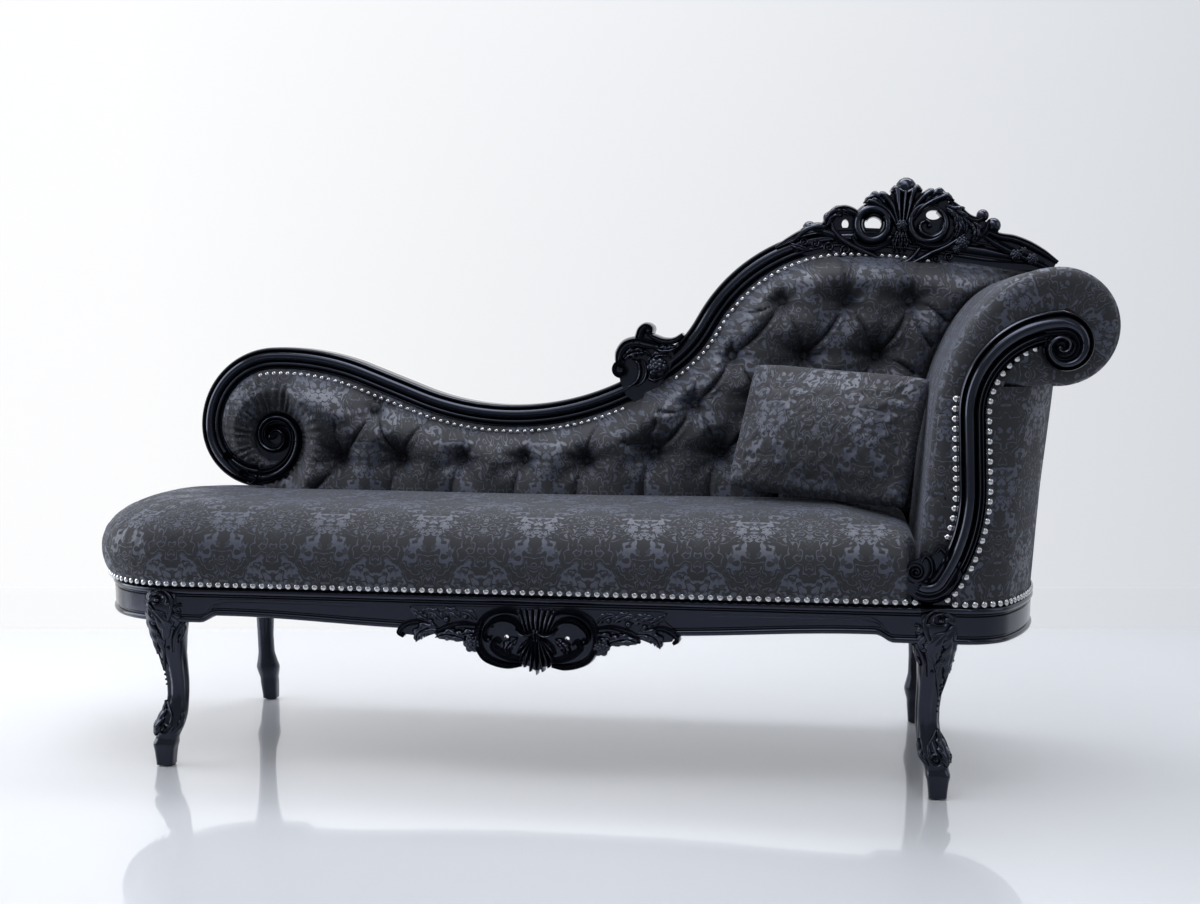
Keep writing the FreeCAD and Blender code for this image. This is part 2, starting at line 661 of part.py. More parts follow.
def show_profile(width, outer):
    """Bead, broad torus and inner bead on a flat-backed bar; outer is the bead's side."""
    half = width / 2 * outer
    front = d.back_front
    rear = d.back_rear
    return [(half, rear), (half, front + 10), (half * 0.64, front + 10), (half * 0.45, front + 3),
            (half * 0.04, front), (-half * 0.37, front + 3), (-half * 0.56, front + 10),
            (-half, front + 10), (-half, rear)]


def back_rails():
    feature("back_rail_low", moulding("front", low_path(), show_profile(d.low_wide, -1)))
    feature("back_rail_high", moulding("front", high_path(), show_profile(d.high_wide, 1)))


def leaf_outline(gap):
    """Carved leaf over the meeting of the two rails; gap grows its lower edge."""
    return [(38 - gap, 640 - gap), (36 - gap, 700)] + LEAF_UPPER + [
        ((144, 770), (166 + gap, 764)), (150 + gap, 712), (116 + gap, 668 - gap),
        (82 + gap, 645 - gap)]


def volute_disc(front, rear, radius):
    tip = low_path()[-1][2]
    return Part.makeCylinder(radius, rear - front,
                             Vec(tip[0] + VOLUTE_HUB[0], front, tip[1] + VOLUTE_HUB[1]),
                             Vec(0, 1, 0))


def volute_space(front, rear, gap):
    tip = low_path()[-1][2]
    half = VOLUTE_WIDE / 2 + gap
    arc = run_path(tip, 0, [VOLUTE_TURNS[0][:2], VOLUTE_TURNS[1][:2]])
    return flat_bar("front", arc, half, -half, front, rear).fuse(
        volute_disc(front, rear, d.volute_radius + gap))


def ridge_ring(at, heading, half, front, rear):
    """Section of the volute's ridge across its path."""
    angle = math.radians(heading + 90)
    return [place("front", at[0] + out * half * math.cos(angle),
                  at[1] + out * half * math.sin(angle), deep)
            for out, deep in ((1, rear), (1, front + 9), (0.4, front), (-0.5, front + 2),
                              (-1, front + 9), (-1, rear))]


def foot_volute():
    """Carved scroll that ends the low rail: a spiral ridge winding to its eye on a disc."""
    front, rear = d.back_front, d.back_rear
    at, heading, half = low_path()[-1][2], 0, VOLUTE_WIDE / 2
    rings = [ridge_ring(at, heading, half, front, rear)]
    for radius, turn, width in VOLUTE_TURNS:
        flats_here = round(turn / 22.5)
        slim = (width / 2 - half) / flats_here
        for index in range(flats_here):
            at = run_path(at, heading, [(radius, turn / flats_here)])[-1][2]
            heading += turn / flats_here
            half += slim
            rings.append(ridge_ring(at, heading, half, front, rear))
    eye = run_path(at, heading, [(11, 90)])[-1][4]
    out = Vec(0, -1, 0)
    knob = tapered(Vec(eye[0], front + 18, eye[1]), out, [(12, 0), (12, 10), (7, 16)], 12)
    tip = low_path()[-1][2]
    hub = Vec(tip[0] + VOLUTE_HUB[0], rear - 6, tip[1] + VOLUTE_HUB[1])
    back = tapered(hub, out, [(d.volute_radius, 0), (d.volute_radius, rear - front - 22)], 24)
    whole = back.multiFuse([skin(rings), knob])
    half = d.low_wide / 2 + 0.05
    whole = whole.cut(flat_bar("front", low_path(), half, -half, front - 5, rear + 5))
    feature("foot_volute", max(whole.Solids, key=lambda solid: solid.Volume))


def head_outline():
    """Front view of the head end's upholstery: up the inside, over and round the roll."""
    start = (d.head_left_x, d.tack_top + d.web_thick + d.deck_thick)
    return run_path(start, d.head_lean,
                    [(d.head_straight,), (d.head_sweep_radius, -d.head_sweep_turn),
                     (d.head_neck_radius, -d.head_neck_turn), (d.roll_radius, -180), (d.roll_return,)])


def back_region(front, rear, gap, floor=None):
    """Board filling the back between the show-wood and the head end, gap clear of both."""
    low = low_path()
    high = high_path()
    head = head_outline()[:3]
    floor = head[0][1][1] if floor is None else floor
    edges = path_edges("front", low, front) + path_edges("front", high, front)
    edges += path_edges("front", head, front)
    tip = low[-1][2]
    bottom = [tip, (tip[0], d.seat_crown + gap), (d.seat_notch_x + 1, d.seat_crown + gap),
              (d.seat_notch_x + 1, floor), (head[0][1][0], floor)]
    if floor < head[0][1][1]:
        bottom.append(head[0][1])
    for chain in ([low[0][1], high[0][1]], [high[-1][2], head[-1][2]], bottom):
        for first, last in zip(chain, chain[1:]):
            edges.append(Part.LineSegment(Vec(first[0], front, first[1]),
                                          Vec(last[0], front, last[1])).toShape())
    board = Part.Face(Part.Wire(Part.__sortEdges__(edges))).extrude(Vec(0, rear - front, 0))
    for path, width in ((low, d.low_wide), (high, d.high_wide)):
        half = width / 2 + gap
        board = board.cut(flat_bar("front", path, half, -half, front - 1, rear + 1))
    board = board.cut(plate(leaf_outline(gap), front - 1, rear + 1))
    return board.cut(volute_space(front - 1, rear + 1, gap))


def head_plate(front, rear, floor):
    """Board of the head end's whole front view, down to floor."""
    outline = head_outline()
    start, end = outline[0][1], outline[-1][2]
    edges = path_edges("front", outline, front)
    chain = [end, (d.panel_foot_x + d.panel_lean - 1, end[1]), (d.panel_foot_x - 1, floor),
             (start[0], floor)]
    if floor < start[1]:
        chain.append(start)
    for first, last in zip(chain, chain[1:]):
        edges.append(Part.LineSegment(Vec(first[0], front, first[1]),
                                      Vec(last[0], front, last[1])).toShape())
    return Part.Face(Part.Wire(Part.__sortEdges__(edges))).extrude(Vec(0, rear - front, 0))


def back_pad():
    """Buttoned back: rounded in along the show-wood, with a pit pressed in at each button."""
    pad = back_region(d.pad_front, d.pad_rear, d.pad_gap)
    head = head_outline()[:3]
    pad = pad.cut(flat_bar("front", head, 10, -d.pad_gap, d.pad_front - 1, d.pad_rear + 1))
    front = d.pad_front
    tuck = d.back_front - d.pad_tuck
    for path, width, side in ((low_path(), d.low_wide, 1), (high_path(), d.high_wide, -1)):
        edge = side * (width / 2 + 0.2)
        deep = edge + side * d.pad_round
        drop = tuck - front
        cutter = [(-edge, front - 5), (deep, front - 5), (deep, front),
                  (edge + side * d.pad_round * 0.5, front + drop * 0.134),
                  (edge + side * d.pad_round * 0.134, front + drop * 0.5), (edge, tuck),
                  (-edge, tuck)]
        pad = pad.cut(moulding("front", path, cutter))
    buttons = []
    for name, height, first, pitch, count in TUFT_ROWS:
        for index in range(int(count)):
            at = Vec(first + index * pitch, front, height)
            deep = Vec(at.x, front + d.tuft_deep, height)
            back = Vec(0, 1, 0)
            pit = tapered(at, back, [(d.tuft_radius, 0), (d.button_radius + 1.5, d.tuft_deep)], 8)
            pad = pad.cut(pit)
            buttons.append(tapered(deep, -back, [(d.button_radius, 0),
                                                 (d.button_radius * 0.7, d.button_high)], 10))
    feature("back_pad", pad)
    feature("back_buttons", Part.makeCompound(buttons))


def back_frame():
    """Hidden beam, posts and lining of the back, with the outer cover behind."""
    rear = d.rail_face - d.tack_setback
    front = d.rail_face - d.rail_thick - 4
    floor = d.tack_top + d.web_thick + d.deck_thick
    wide = d.head_left_x - d.seat_notch_x - 8
    beam = Part.makeBox(wide, rear - front, d.back_beam_deep, Vec(d.seat_notch_x + 4, front, floor))
    feature("back_beam", beam)
    inside = back_region(front, rear, d.fit_gap)
    posts = []
    for x in POST_PLACES:
        post = Part.makeBox(d.post_wide, 200, 900, Vec(x, front - 10, floor + d.back_beam_deep))
        posts.append(inside.common(post).Solids[0])
    feature("back_posts", Part.makeCompound(posts))
    feature("back_lining", back_region(d.pad_rear + d.fit_gap, d.pad_rear + d.lining_thick, d.pad_gap))
    skin = rear + d.fit_gap
    cover = back_region(skin, d.back_rear, d.fit_gap, d.rail_top + 1)
    end = head_plate(skin, d.back_rear, d.rail_top + 1)
    half = d.high_wide / 2 + d.fit_gap
    end = end.cut(flat_bar("front", high_path(), half, -half, skin - 1, d.back_rear + 1))
    feature("outside_back", cover.fuse(end).removeSplitter())


# Head end

def head_end():
    outline = head_outline()
    thick = d.head_pad_thick
    low, rear = d.head_front, d.head_rear
    floor = d.tack_top + d.web_thick + d.deck_thick
    below = Part.makeBox(400, 800, 200, Vec(d.head_left_x - 100, -400, floor + d.fit_gap - 200))
    pad = flat_bar("front", outline, 0, -thick, low, rear)
    bevel = [(2, low - 2), (-d.head_round, low - 2), (-d.head_round, low),
             (-d.head_round * 0.5, low + d.head_round * 0.134),
             (-d.head_round * 0.134, low + d.head_round * 0.5), (0, low + d.head_round),
             (2, low + d.head_round)]
    pad = pad.cut(moulding("front", outline, bevel)).cut(below)
    feature("head_pad", pad.cut(facing_space()))
    hub = outline[3][4]
    core = d.roll_radius - thick - d.fit_gap
    frame_rear = d.rail_face - d.rail_thick - 4
    start = d.facing_seat + d.head_board_thick
    feature("head_roller", Part.makeCylinder(core, frame_rear - start, Vec(hub[0], start, hub[1]),
                                             Vec(0, 1, 0)))
    inner = outline[:2] + run_path(outline[2][1], outline[2][3], [(d.head_neck_radius, -20)])
    skin = -thick - d.fit_gap
    board = flat_bar("front", inner, skin, skin - d.board_thick, start, frame_rear)
    feature("head_board", board.cut(below))
    wrap = flat_bar("front", outline, 20, -thick - d.fit_gap, low - 10, rear + 50)
    front_board = head_plate(d.facing_seat, start, floor).cut(wrap)
    feature("head_front_board", max(front_board.Solids, key=lambda solid: solid.Volume))
    feature("head_rear_board", head_plate(frame_rear, d.rail_face - d.tack_setback, floor))


def facing_space():
    """What the facing, its boss and its leaf press into the fabric behind."""
    half = d.facing_wide / 2 + d.fit_gap
    front, rear = d.facing_front - 5, d.facing_seat + d.fit_gap
    bar = flat_bar("front", facing_path(), half, -half, front, rear)
    boss = Part.makeCylinder(d.boss_radius + d.fit_gap, rear - front, facing_hub(front), Vec(0, 1, 0))
    leaf = Part.makeCylinder(d.leaf_radius + d.fit_gap, rear - front,
                             Vec(LEAF_AT[0], front, LEAF_AT[1]), Vec(0, 1, 0))
    return bar.multiFuse([boss, leaf])


def facing_hub(depth):
    tip = facing_path()[-1][2]
    return Vec(tip[0] + d.boss_shift, depth, tip[1] - d.boss_radius + d.facing_wide / 2)


def facing_path():
    return run_path(FACING_START, FACING_HEADING, FACING_STEPS)


def head_facing():
    """Moulded scroll on the front of the head end, with a boss in its upper volute."""
    half = d.facing_wide / 2
    front, seat = d.facing_front, d.facing_seat
    profile = [(half, seat), (half, front + 10), (half * 0.62, front + 10),
               (half * 0.4, front + 3), (0, front), (-half * 0.4, front + 3),
               (-half * 0.62, front + 10), (-half, front + 10), (-half, seat)]
    bar = moulding("front", facing_path(), profile)
    hub = facing_hub(seat)
    out = Vec(0, -1, 0)
    deep = seat - front
    boss = tapered(hub, out, [(d.boss_radius, 0), (d.boss_radius, deep - 8)], 24)
    eye = tapered(hub, out, [(14, deep - 10), (14, deep - 6), (7, deep)], 12)
    leaf = tapered(Vec(LEAF_AT[0], seat, LEAF_AT[1]), out, [(d.leaf_radius, 0), (22, deep - 2)], 16)
    feature("head_facing", bar.multiFuse([boss, eye, leaf]).removeSplitter())


def outside_head():
    """Bowed outer panel, flared outwards as it rises to the roll."""
    rings = []
    base = d.rail_top + 1
    for share, shift in ((0, -1), (0.3, 6.5), (0.52, 13), (1, d.panel_flare)):
        height = base + share * (d.panel_top - base)
        start = d.panel_foot_x + share * d.panel_lean
        skins = []
        for half in (d.panel_face, d.panel_face - d.panel_thick):
            points = [Vec(start, -half, height)]
            for kind, first, last, heading, centre, turn in head_plan(0, shift, half):
                points += arc_points(first, centre, turn, height)
            points.append(Vec(last[0], last[1], height))
            points.append(Vec(start, half, height))
            skins.append(points)
        rings.append(skins[0] + skins[1][::-1])
    panel = skin(rings)
    feature("outside_head", panel.cut(facing_space()))


def arc_points(first, centre, turn, height):
    """Points along an arc of a plan, its last one left out."""
    radius = math.dist(first, centre)
    start = math.atan2(first[1] - centre[1], first[0] - centre[0])
    count = round(abs(turn) / 6)
    return [Vec(centre[0] + radius * math.cos(start + math.radians(turn) * i / count),
                centre[1] + radius * math.sin(start + math.radians(turn) * i / count), height)
            for i in range(count)]


# Carved ornaments, as the masses that the fine carving is cut from

def back_acanthus():
    front, rear = d.back_front - 10, d.back_rear - 5
    leaf = plate(leaf_outline(0), front, rear)
    for path, width in ((low_path(), d.low_wide), (high_path(), d.high_wide)):
        half = width / 2 + 0.1
        leaf = leaf.cut(flat_bar("front", path, half, -half, d.back_front, d.back_rear + 5))
    curl = tapered(Vec(108, front, 774), Vec(0, -1, 0), [(15, 0), (9, 6)], 12)
    feature("back_acanthus", max(leaf.fuse(curl).Solids, key=lambda solid: solid.Volume))


def band(line, width, front, rear):
    """Flat ribbon of a given width along a line of points in the front view."""
    sides = []
    for hand in (1, -1):
        edge = []
        for index, (x, z) in enumerate(line):
            before, after = line[max(0, index - 1)], line[min(len(line) - 1, index + 1)]
            heading = math.atan2(after[1] - before[1], after[0] - before[0])
            edge.append((x - hand * width / 2 * math.sin(heading),
                         z + hand * width / 2 * math.cos(heading)))
        sides.append(edge)
    return plate(sides[0] + sides[1][::-1], front, rear)


def crest():
    """Pierced cresting: two C-scroll rings either side of a palmette under a ball finial."""
    front, rear, rail = d.crest_front, d.crest_rear, d.back_front
    base = plate(CREST_OUTLINE, front, rear)
    through = 3 * (rear - front)
    holes = [Part.makeCylinder(radius, through, Vec(x, rear - 2 * (rear - front), z), Vec(0, 1, 0))
             for x, z, radius in CREST_HOLES]
    base = base.cut(Part.makeCompound(holes))
    parts = [scroll_ring(Vec(x, rear, z), CREST_RING_RADIUS, CREST_RING_WIRE,
                         rear - rail + d.crest_proud) for x, z in CREST_RINGS]
    parts.append(plate(PALMETTE, rail - d.crest_proud + 1, rear))
    for width, line in CREST_BANDS:
        parts.append(band(line, width, rail - d.band_proud, front + 3))
    middle = (front + rear) / 2
    parts.append(ball(Vec(FINIAL_X, middle, CREST_TOP - d.finial_radius), d.finial_radius))
    for x, z, radius in CREST_BUDS:
        parts.append(ball(Vec(x, middle, z), radius))
    whole = base.multiFuse(parts)
    half = d.high_wide / 2 + 0.1
    whole = whole.cut(flat_bar("front", high_path(), half, -half, d.back_front, d.back_rear + 5))
    feature("crest", max(whole.Solids, key=lambda solid: solid.Volume))


def apron():
    """Carving on the front rail: shell between two C-scrolls, with a garland each side."""
    face, front = -d.rail_face, d.apron_front
    middle = d.apron_x
    under = d.rail_under

    def shift(outline):
        """Move an outline's corners and arcs to the apron's place on the rail."""
        return [shift(item) if isinstance(item[0], tuple) else (middle + item[0], under + item[1])
                for item in outline]
    back = plate([tuple(item) if isinstance(item, list) else item for item in shift(APRON_BACK)],
                 face - d.apron_thick, face)
    parts = [plate(shift(SHELL), front, face)]
    width, line = APRON_BAND
    for side in (-1, 1):
        hub = Vec(middle + side * d.ring_spread, face, d.ring_high)
        parts.append(scroll_ring(hub, d.ring_radius, d.ring_wire, face - front - 3))
        parts.append(band(shift([(side * x, z) for x, z in line]), width, front + 8, face))
        for reach, drop, radius in GARLAND:
            spot = Vec(middle + side * reach, face, under + drop)
            parts.append(tapered(spot, Vec(0, -1, 0), [(radius, 0), (radius, 12),
                                                       (radius * 0.55, 22)], 10))
    whole = back.multiFuse(parts)
    feature("apron", max(whole.Solids, key=lambda solid: solid.Volume))


def foot_end_drops():
    """Row of rounded drops under the bowed foot rail."""
    bow = foot_plan()[1]
    centre, radius = bow[4], math.dist(bow[1], bow[4]) - d.rail_thick / 4
    drops = []
    for index in range(-4, 5):
        angle = math.radians(180 + index * DROP_STEP)
        at = Vec(centre[0] + radius * math.cos(angle), centre[1] + radius * math.sin(angle),
                 d.rail_under - DROP_LONG)
        drops.append(tapered(at, Vec(0, 0, 1), [(DROP_RADIUS * 0.45, -8), (DROP_RADIUS * 0.85, -4),
                                                (DROP_RADIUS, 1), (DROP_RADIUS, DROP_LONG)], 8))
    feature("foot_end_drops", Part.makeCompound(drops))


# Loose cushion

def lumbar_cushion():
    """Oblong cushion: full in the middle, sides drawn in between four pointed corners."""
    half_wide, half_tall, half_thick = d.cushion_wide / 2, d.cushion_tall / 2, d.cushion_thick / 2
    lenses = []
    for share, tall, thick in CUSHION_RINGS:
        lenses.append([Vec(share * half_wide, side * half_thick * thick * swell,
                           half_tall * tall * up) for side, up, swell in LENS])
    solid = skin(lenses)
    turn = FreeCAD.Rotation(Vec(0, 0, 1), d.cushion_yaw).multiply(
        FreeCAD.Rotation(Vec(1, 0, 0), -d.cushion_lean))
    stand = FreeCAD.Placement(Vec(), turn)
    probe = solid.copy()
    probe.Placement = stand
    lowest = probe.optimalBoundingBox(False).ZMin
    base = turn.multVec(Vec(0, 0, -half_tall))
    seat = Vec(d.cushion_x - base.x, d.cushion_y - base.y, d.seat_crown + d.fit_gap - lowest)
    feature("lumbar_cushion", solid, FreeCAD.Placement(seat, turn))


def check_and_export():
    """Stop on any failed object, then write one STEP file for each node."""
    doc.recompute()
    for item in doc.Objects:
        if "Invalid" in item.State or "Error" in item.State:
            raise RuntimeError("failed object: " + item.Name)
    for node, thing in NODES.items():
        if thing.Shape.isNull() or not thing.Shape.isValid() or not thing.Shape.Solids:
            raise RuntimeError("bad shape: " + node)
    os.makedirs("parts", exist_ok=True)
    for node, thing in NODES.items():
        thing.Shape.exportStep("parts/%s.step" % node)
    print("%d nodes written" % len(NODES))


long_rail("front_rail", -1)
long_rail("rear_rail", 1)
end_rails()
legs_and_glides()
seat_inside()
seat_pad()
back_rails()
foot_volute()
back_acanthus()
crest()
apron()
foot_end_drops()
back_pad()
back_frame()
head_end()
head_facing()
outside_head()
lumbar_cushion()
check_and_export()
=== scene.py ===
"""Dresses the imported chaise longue: damask upholstery, carved black lacquer and nailheads."""

import contextlib
import functools
import math

import bmesh
import bpy
import numpy as np
from mathutils import Matrix, Vector, kdtree
from mathutils.geometry import tessellate_polygon


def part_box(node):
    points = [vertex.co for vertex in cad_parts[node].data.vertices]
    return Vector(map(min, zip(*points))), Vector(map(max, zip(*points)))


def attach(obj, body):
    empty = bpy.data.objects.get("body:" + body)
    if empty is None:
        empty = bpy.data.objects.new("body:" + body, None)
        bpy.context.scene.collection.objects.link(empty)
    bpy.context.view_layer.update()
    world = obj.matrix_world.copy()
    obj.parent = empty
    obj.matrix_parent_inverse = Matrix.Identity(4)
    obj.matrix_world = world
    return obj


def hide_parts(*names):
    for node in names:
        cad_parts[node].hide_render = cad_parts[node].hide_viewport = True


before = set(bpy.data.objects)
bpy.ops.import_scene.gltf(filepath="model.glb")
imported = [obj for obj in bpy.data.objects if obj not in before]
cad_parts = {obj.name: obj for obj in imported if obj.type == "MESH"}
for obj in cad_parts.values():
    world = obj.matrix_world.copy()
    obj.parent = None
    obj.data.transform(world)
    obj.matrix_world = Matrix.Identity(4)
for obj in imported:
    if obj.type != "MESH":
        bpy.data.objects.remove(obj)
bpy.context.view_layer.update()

bl_info = {
    "name": "Chaise longue dressing",
    "version": (1, 0, 0),
    "blender": (4, 5, 0),
    "location": "View3D > Sidebar > Chaise",
    "description": "Upholstery, carving, nailheads and finishes of a chaise longue",
    "category": "Object",
}

MM = 0.001
COUCH = "couch"

# Sizes shared with the wooden model, in millimetres
FOOT_LEG_X, HEAD_LEG_X, LEG_SIDE_Y, LEG_BLOCK = -712, 630, 235, 60
RAIL_FACE, RAIL_UNDER, RAIL_TOP, TACK_TOP = 262, 264, 326, 372
FOOT_CURVE_X, FOOT_CORNER, FOOT_TURN = -687, 180, 55
HEAD_CURVE_X, HEAD_CORNER, HEAD_TURN = 675, 90, 60
SEAT_CROWN = 463
BACK_FRONT, BACK_REAR = 209, 255
LOW_START, LOW_HEADING = (63.7, 661.4), 206.7
LOW_STEPS = [(533.6, -48.0), (124.7,), (482.2, 23.3), (137.7, 88.0), (101.1, 90)]
HIGH_START, HIGH_HEADING = (104.3, 688.6), 25.7
HIGH_STEPS = [(247.4, 33.8), (18.5,), (306.3, -59.5), (900, -9), (232,)]
HEAD_START, HEAD_LEAN = (600.7, 376.5), 85.2
HEAD_STEPS = [(265.3,), (330.3, -37), (152.6, -48), (96.9, -180), (95,)]
FACING_START, FACING_HEADING = (601, 359), 330
FACING_STEPS = [(30, 87), (276.7, 35), (113.4,), (140.1, -92)]
# Deep buttons: height, first x, pitch, count
TUFT_ROWS = [(836, 361, 120, 3), (731, 266, 136, 3), (637, 192, 134, 3), (540, 113, 130, 4),
             (522, -520, 125, 5), (623, -454, 100, 1)]


# Settings

class ChaiseFabric(bpy.types.PropertyGroup):
    ground: bpy.props.StringProperty(
        name="Ground", description="Satin ground of the damask, as an sRGB hex value",
        default="#383C49")
    motif: bpy.props.StringProperty(
        name="Motif", description="Matt figure of the damask, as an sRGB hex value",
        default="#242528")
    repeat_wide: bpy.props.FloatProperty(
        name="Repeat width", description="Width of one repeat of the figure",
        default=0.185, min=0.02, unit="LENGTH")
    repeat_high: bpy.props.FloatProperty(
        name="Repeat height", description="Height of one repeat of the figure",
        default=0.260, min=0.02, unit="LENGTH")
    swell: bpy.props.FloatProperty(
        name="Filling", description="Pressure that swells the pads in the cloth simulation",
        default=4.0, min=0.0, max=20.0)


class ChaiseWood(bpy.types.PropertyGroup):
    lacquer: bpy.props.StringProperty(
        name="Lacquer", description="Body colour of the gloss lacquer, as an sRGB hex value",
        default="#090C12")
    gloss: bpy.props.FloatProperty(
        name="Roughness", description="Roughness of the polished lacquer",
        default=0.11, min=0.0, max=1.0, subtype="FACTOR")


class ChaiseNails(bpy.types.PropertyGroup):
    metal: bpy.props.StringProperty(
        name="Metal", description="Plating of the nailheads, as an sRGB hex value",
        default="#D9DADC")
    diameter: bpy.props.FloatProperty(
        name="Head diameter", description="Diameter of a large nailhead",
        default=0.0114, min=0.002, unit="LENGTH")
    pitch: bpy.props.FloatProperty(
        name="Pitch", description="Distance between large nailheads",
        default=0.0160, min=0.004, unit="LENGTH")


class ChaiseStudio(bpy.types.PropertyGroup):
    floor: bpy.props.StringProperty(
        name="Floor", description="Colour of the polished floor, as an sRGB hex value",
        default="#CFD1D4")
    wall: bpy.props.StringProperty(
        name="Wall", description="Colour of the wall, as an sRGB hex value",
        default="#E6E9EE")
    lens: bpy.props.FloatProperty(
        name="Lens", description="Focal length of the camera in millimetres",
        default=46.4, min=10.0)


class ChaiseSettings(bpy.types.PropertyGroup):
    fabric: bpy.props.PointerProperty(type=ChaiseFabric)
    wood: bpy.props.PointerProperty(type=ChaiseWood)
    nails: bpy.props.PointerProperty(type=ChaiseNails)
    studio: bpy.props.PointerProperty(type=ChaiseStudio)


def settings():
    return bpy.context.scene.chaise


# Materials

def tint(code, alpha=1.0):
    """An sRGB hex value as linear light."""
    parts = [int(code[i:i + 2], 16) / 255 for i in (1, 3, 5)]
    return tuple(c / 12.92 if c <= 0.04045 else ((c + 0.055) / 1.055) ** 2.4
                 for c in parts) + (alpha,)


def wire(tree, node, inputs):
    """Set sockets, by name or number, to a value or to another node's output."""
    for key, value in inputs.items():
        if isinstance(value, bpy.types.NodeSocket):
            tree.links.new(value, node.inputs[key])
        else:
            node.inputs[key].default_value = value


def add(tree, kind, inputs=None, **options):
    """Add a node with its options, and set its sockets."""
    new = tree.nodes.new(kind)
    for name, value in options.items():
        setattr(new, name, value)
    wire(tree, new, inputs or {})
    return new


def new_material(name):
    """An empty material and its surface shader."""
    material = bpy.data.materials.new(name)
    material.use_nodes = True
    tree = material.node_tree
    tree.nodes.clear()
    shader = add(tree, "ShaderNodeBsdfPrincipled")
    output = add(tree, "ShaderNodeOutputMaterial", {"Surface": shader.outputs[0]})
    output.is_active_output = True
    return material, tree, shader


def maths(tree, operation, *values, **options):
    """A maths node's result."""
    return add(tree, "ShaderNodeMath", dict(enumerate(values)), operation=operation,
               **options).outputs[0]


def own_space(tree):
    """Places in the object's own space."""
    return add(tree, "ShaderNodeTexCoord").outputs["Object"]


def noise(tree, place, scale, detail=2.0):
    return add(tree, "ShaderNodeTexNoise", {"Vector": place, "Scale": scale, "Detail": detail})


def blend(tree, share, first, second):
    """A mix of two colours, given as sRGB hex values or as outputs."""
    first, second = (tint(c) if isinstance(c, str) else c for c in (first, second))
    return add(tree, "ShaderNodeMixRGB", {0: share, 1: first, 2: second}).outputs[0]


def ramp(tree, value, low, high, start=0.0, end=1.0):
    """A value's place between low and high, as one between start and end."""
    return add(tree, "ShaderNodeMapRange", {0: value, 1: low, 2: high, 3: start,
                                            4: end}).outputs[0]


def bump(tree, strength, distance, height):
    return add(tree, "ShaderNodeBump", {"Strength": strength, "Distance": distance,
                                        "Height": height}).outputs[0]


def medallion(tree, x, y, wide, high, petals):
    """Distance from a pear-shaped medallion's heart, 1 at its scalloped edge."""
    do = functools.partial(maths, tree)
    slim = do("MULTIPLY_ADD", y, -0.42 / high, 1.0)
    across = do("DIVIDE", x, do("MULTIPLY", slim, wide))
    along_it = do("MULTIPLY", y, 1 / high)
    squares = do("MULTIPLY_ADD", across, across, do("POWER", along_it, 2.0))
    turn = do("MULTIPLY", do("ARCTAN2", along_it, across), petals)
    scallop = do("MULTIPLY_ADD", do("COSINE", turn), 0.11, 1.0)
    return do("MULTIPLY", do("SQRT", squares), scallop)


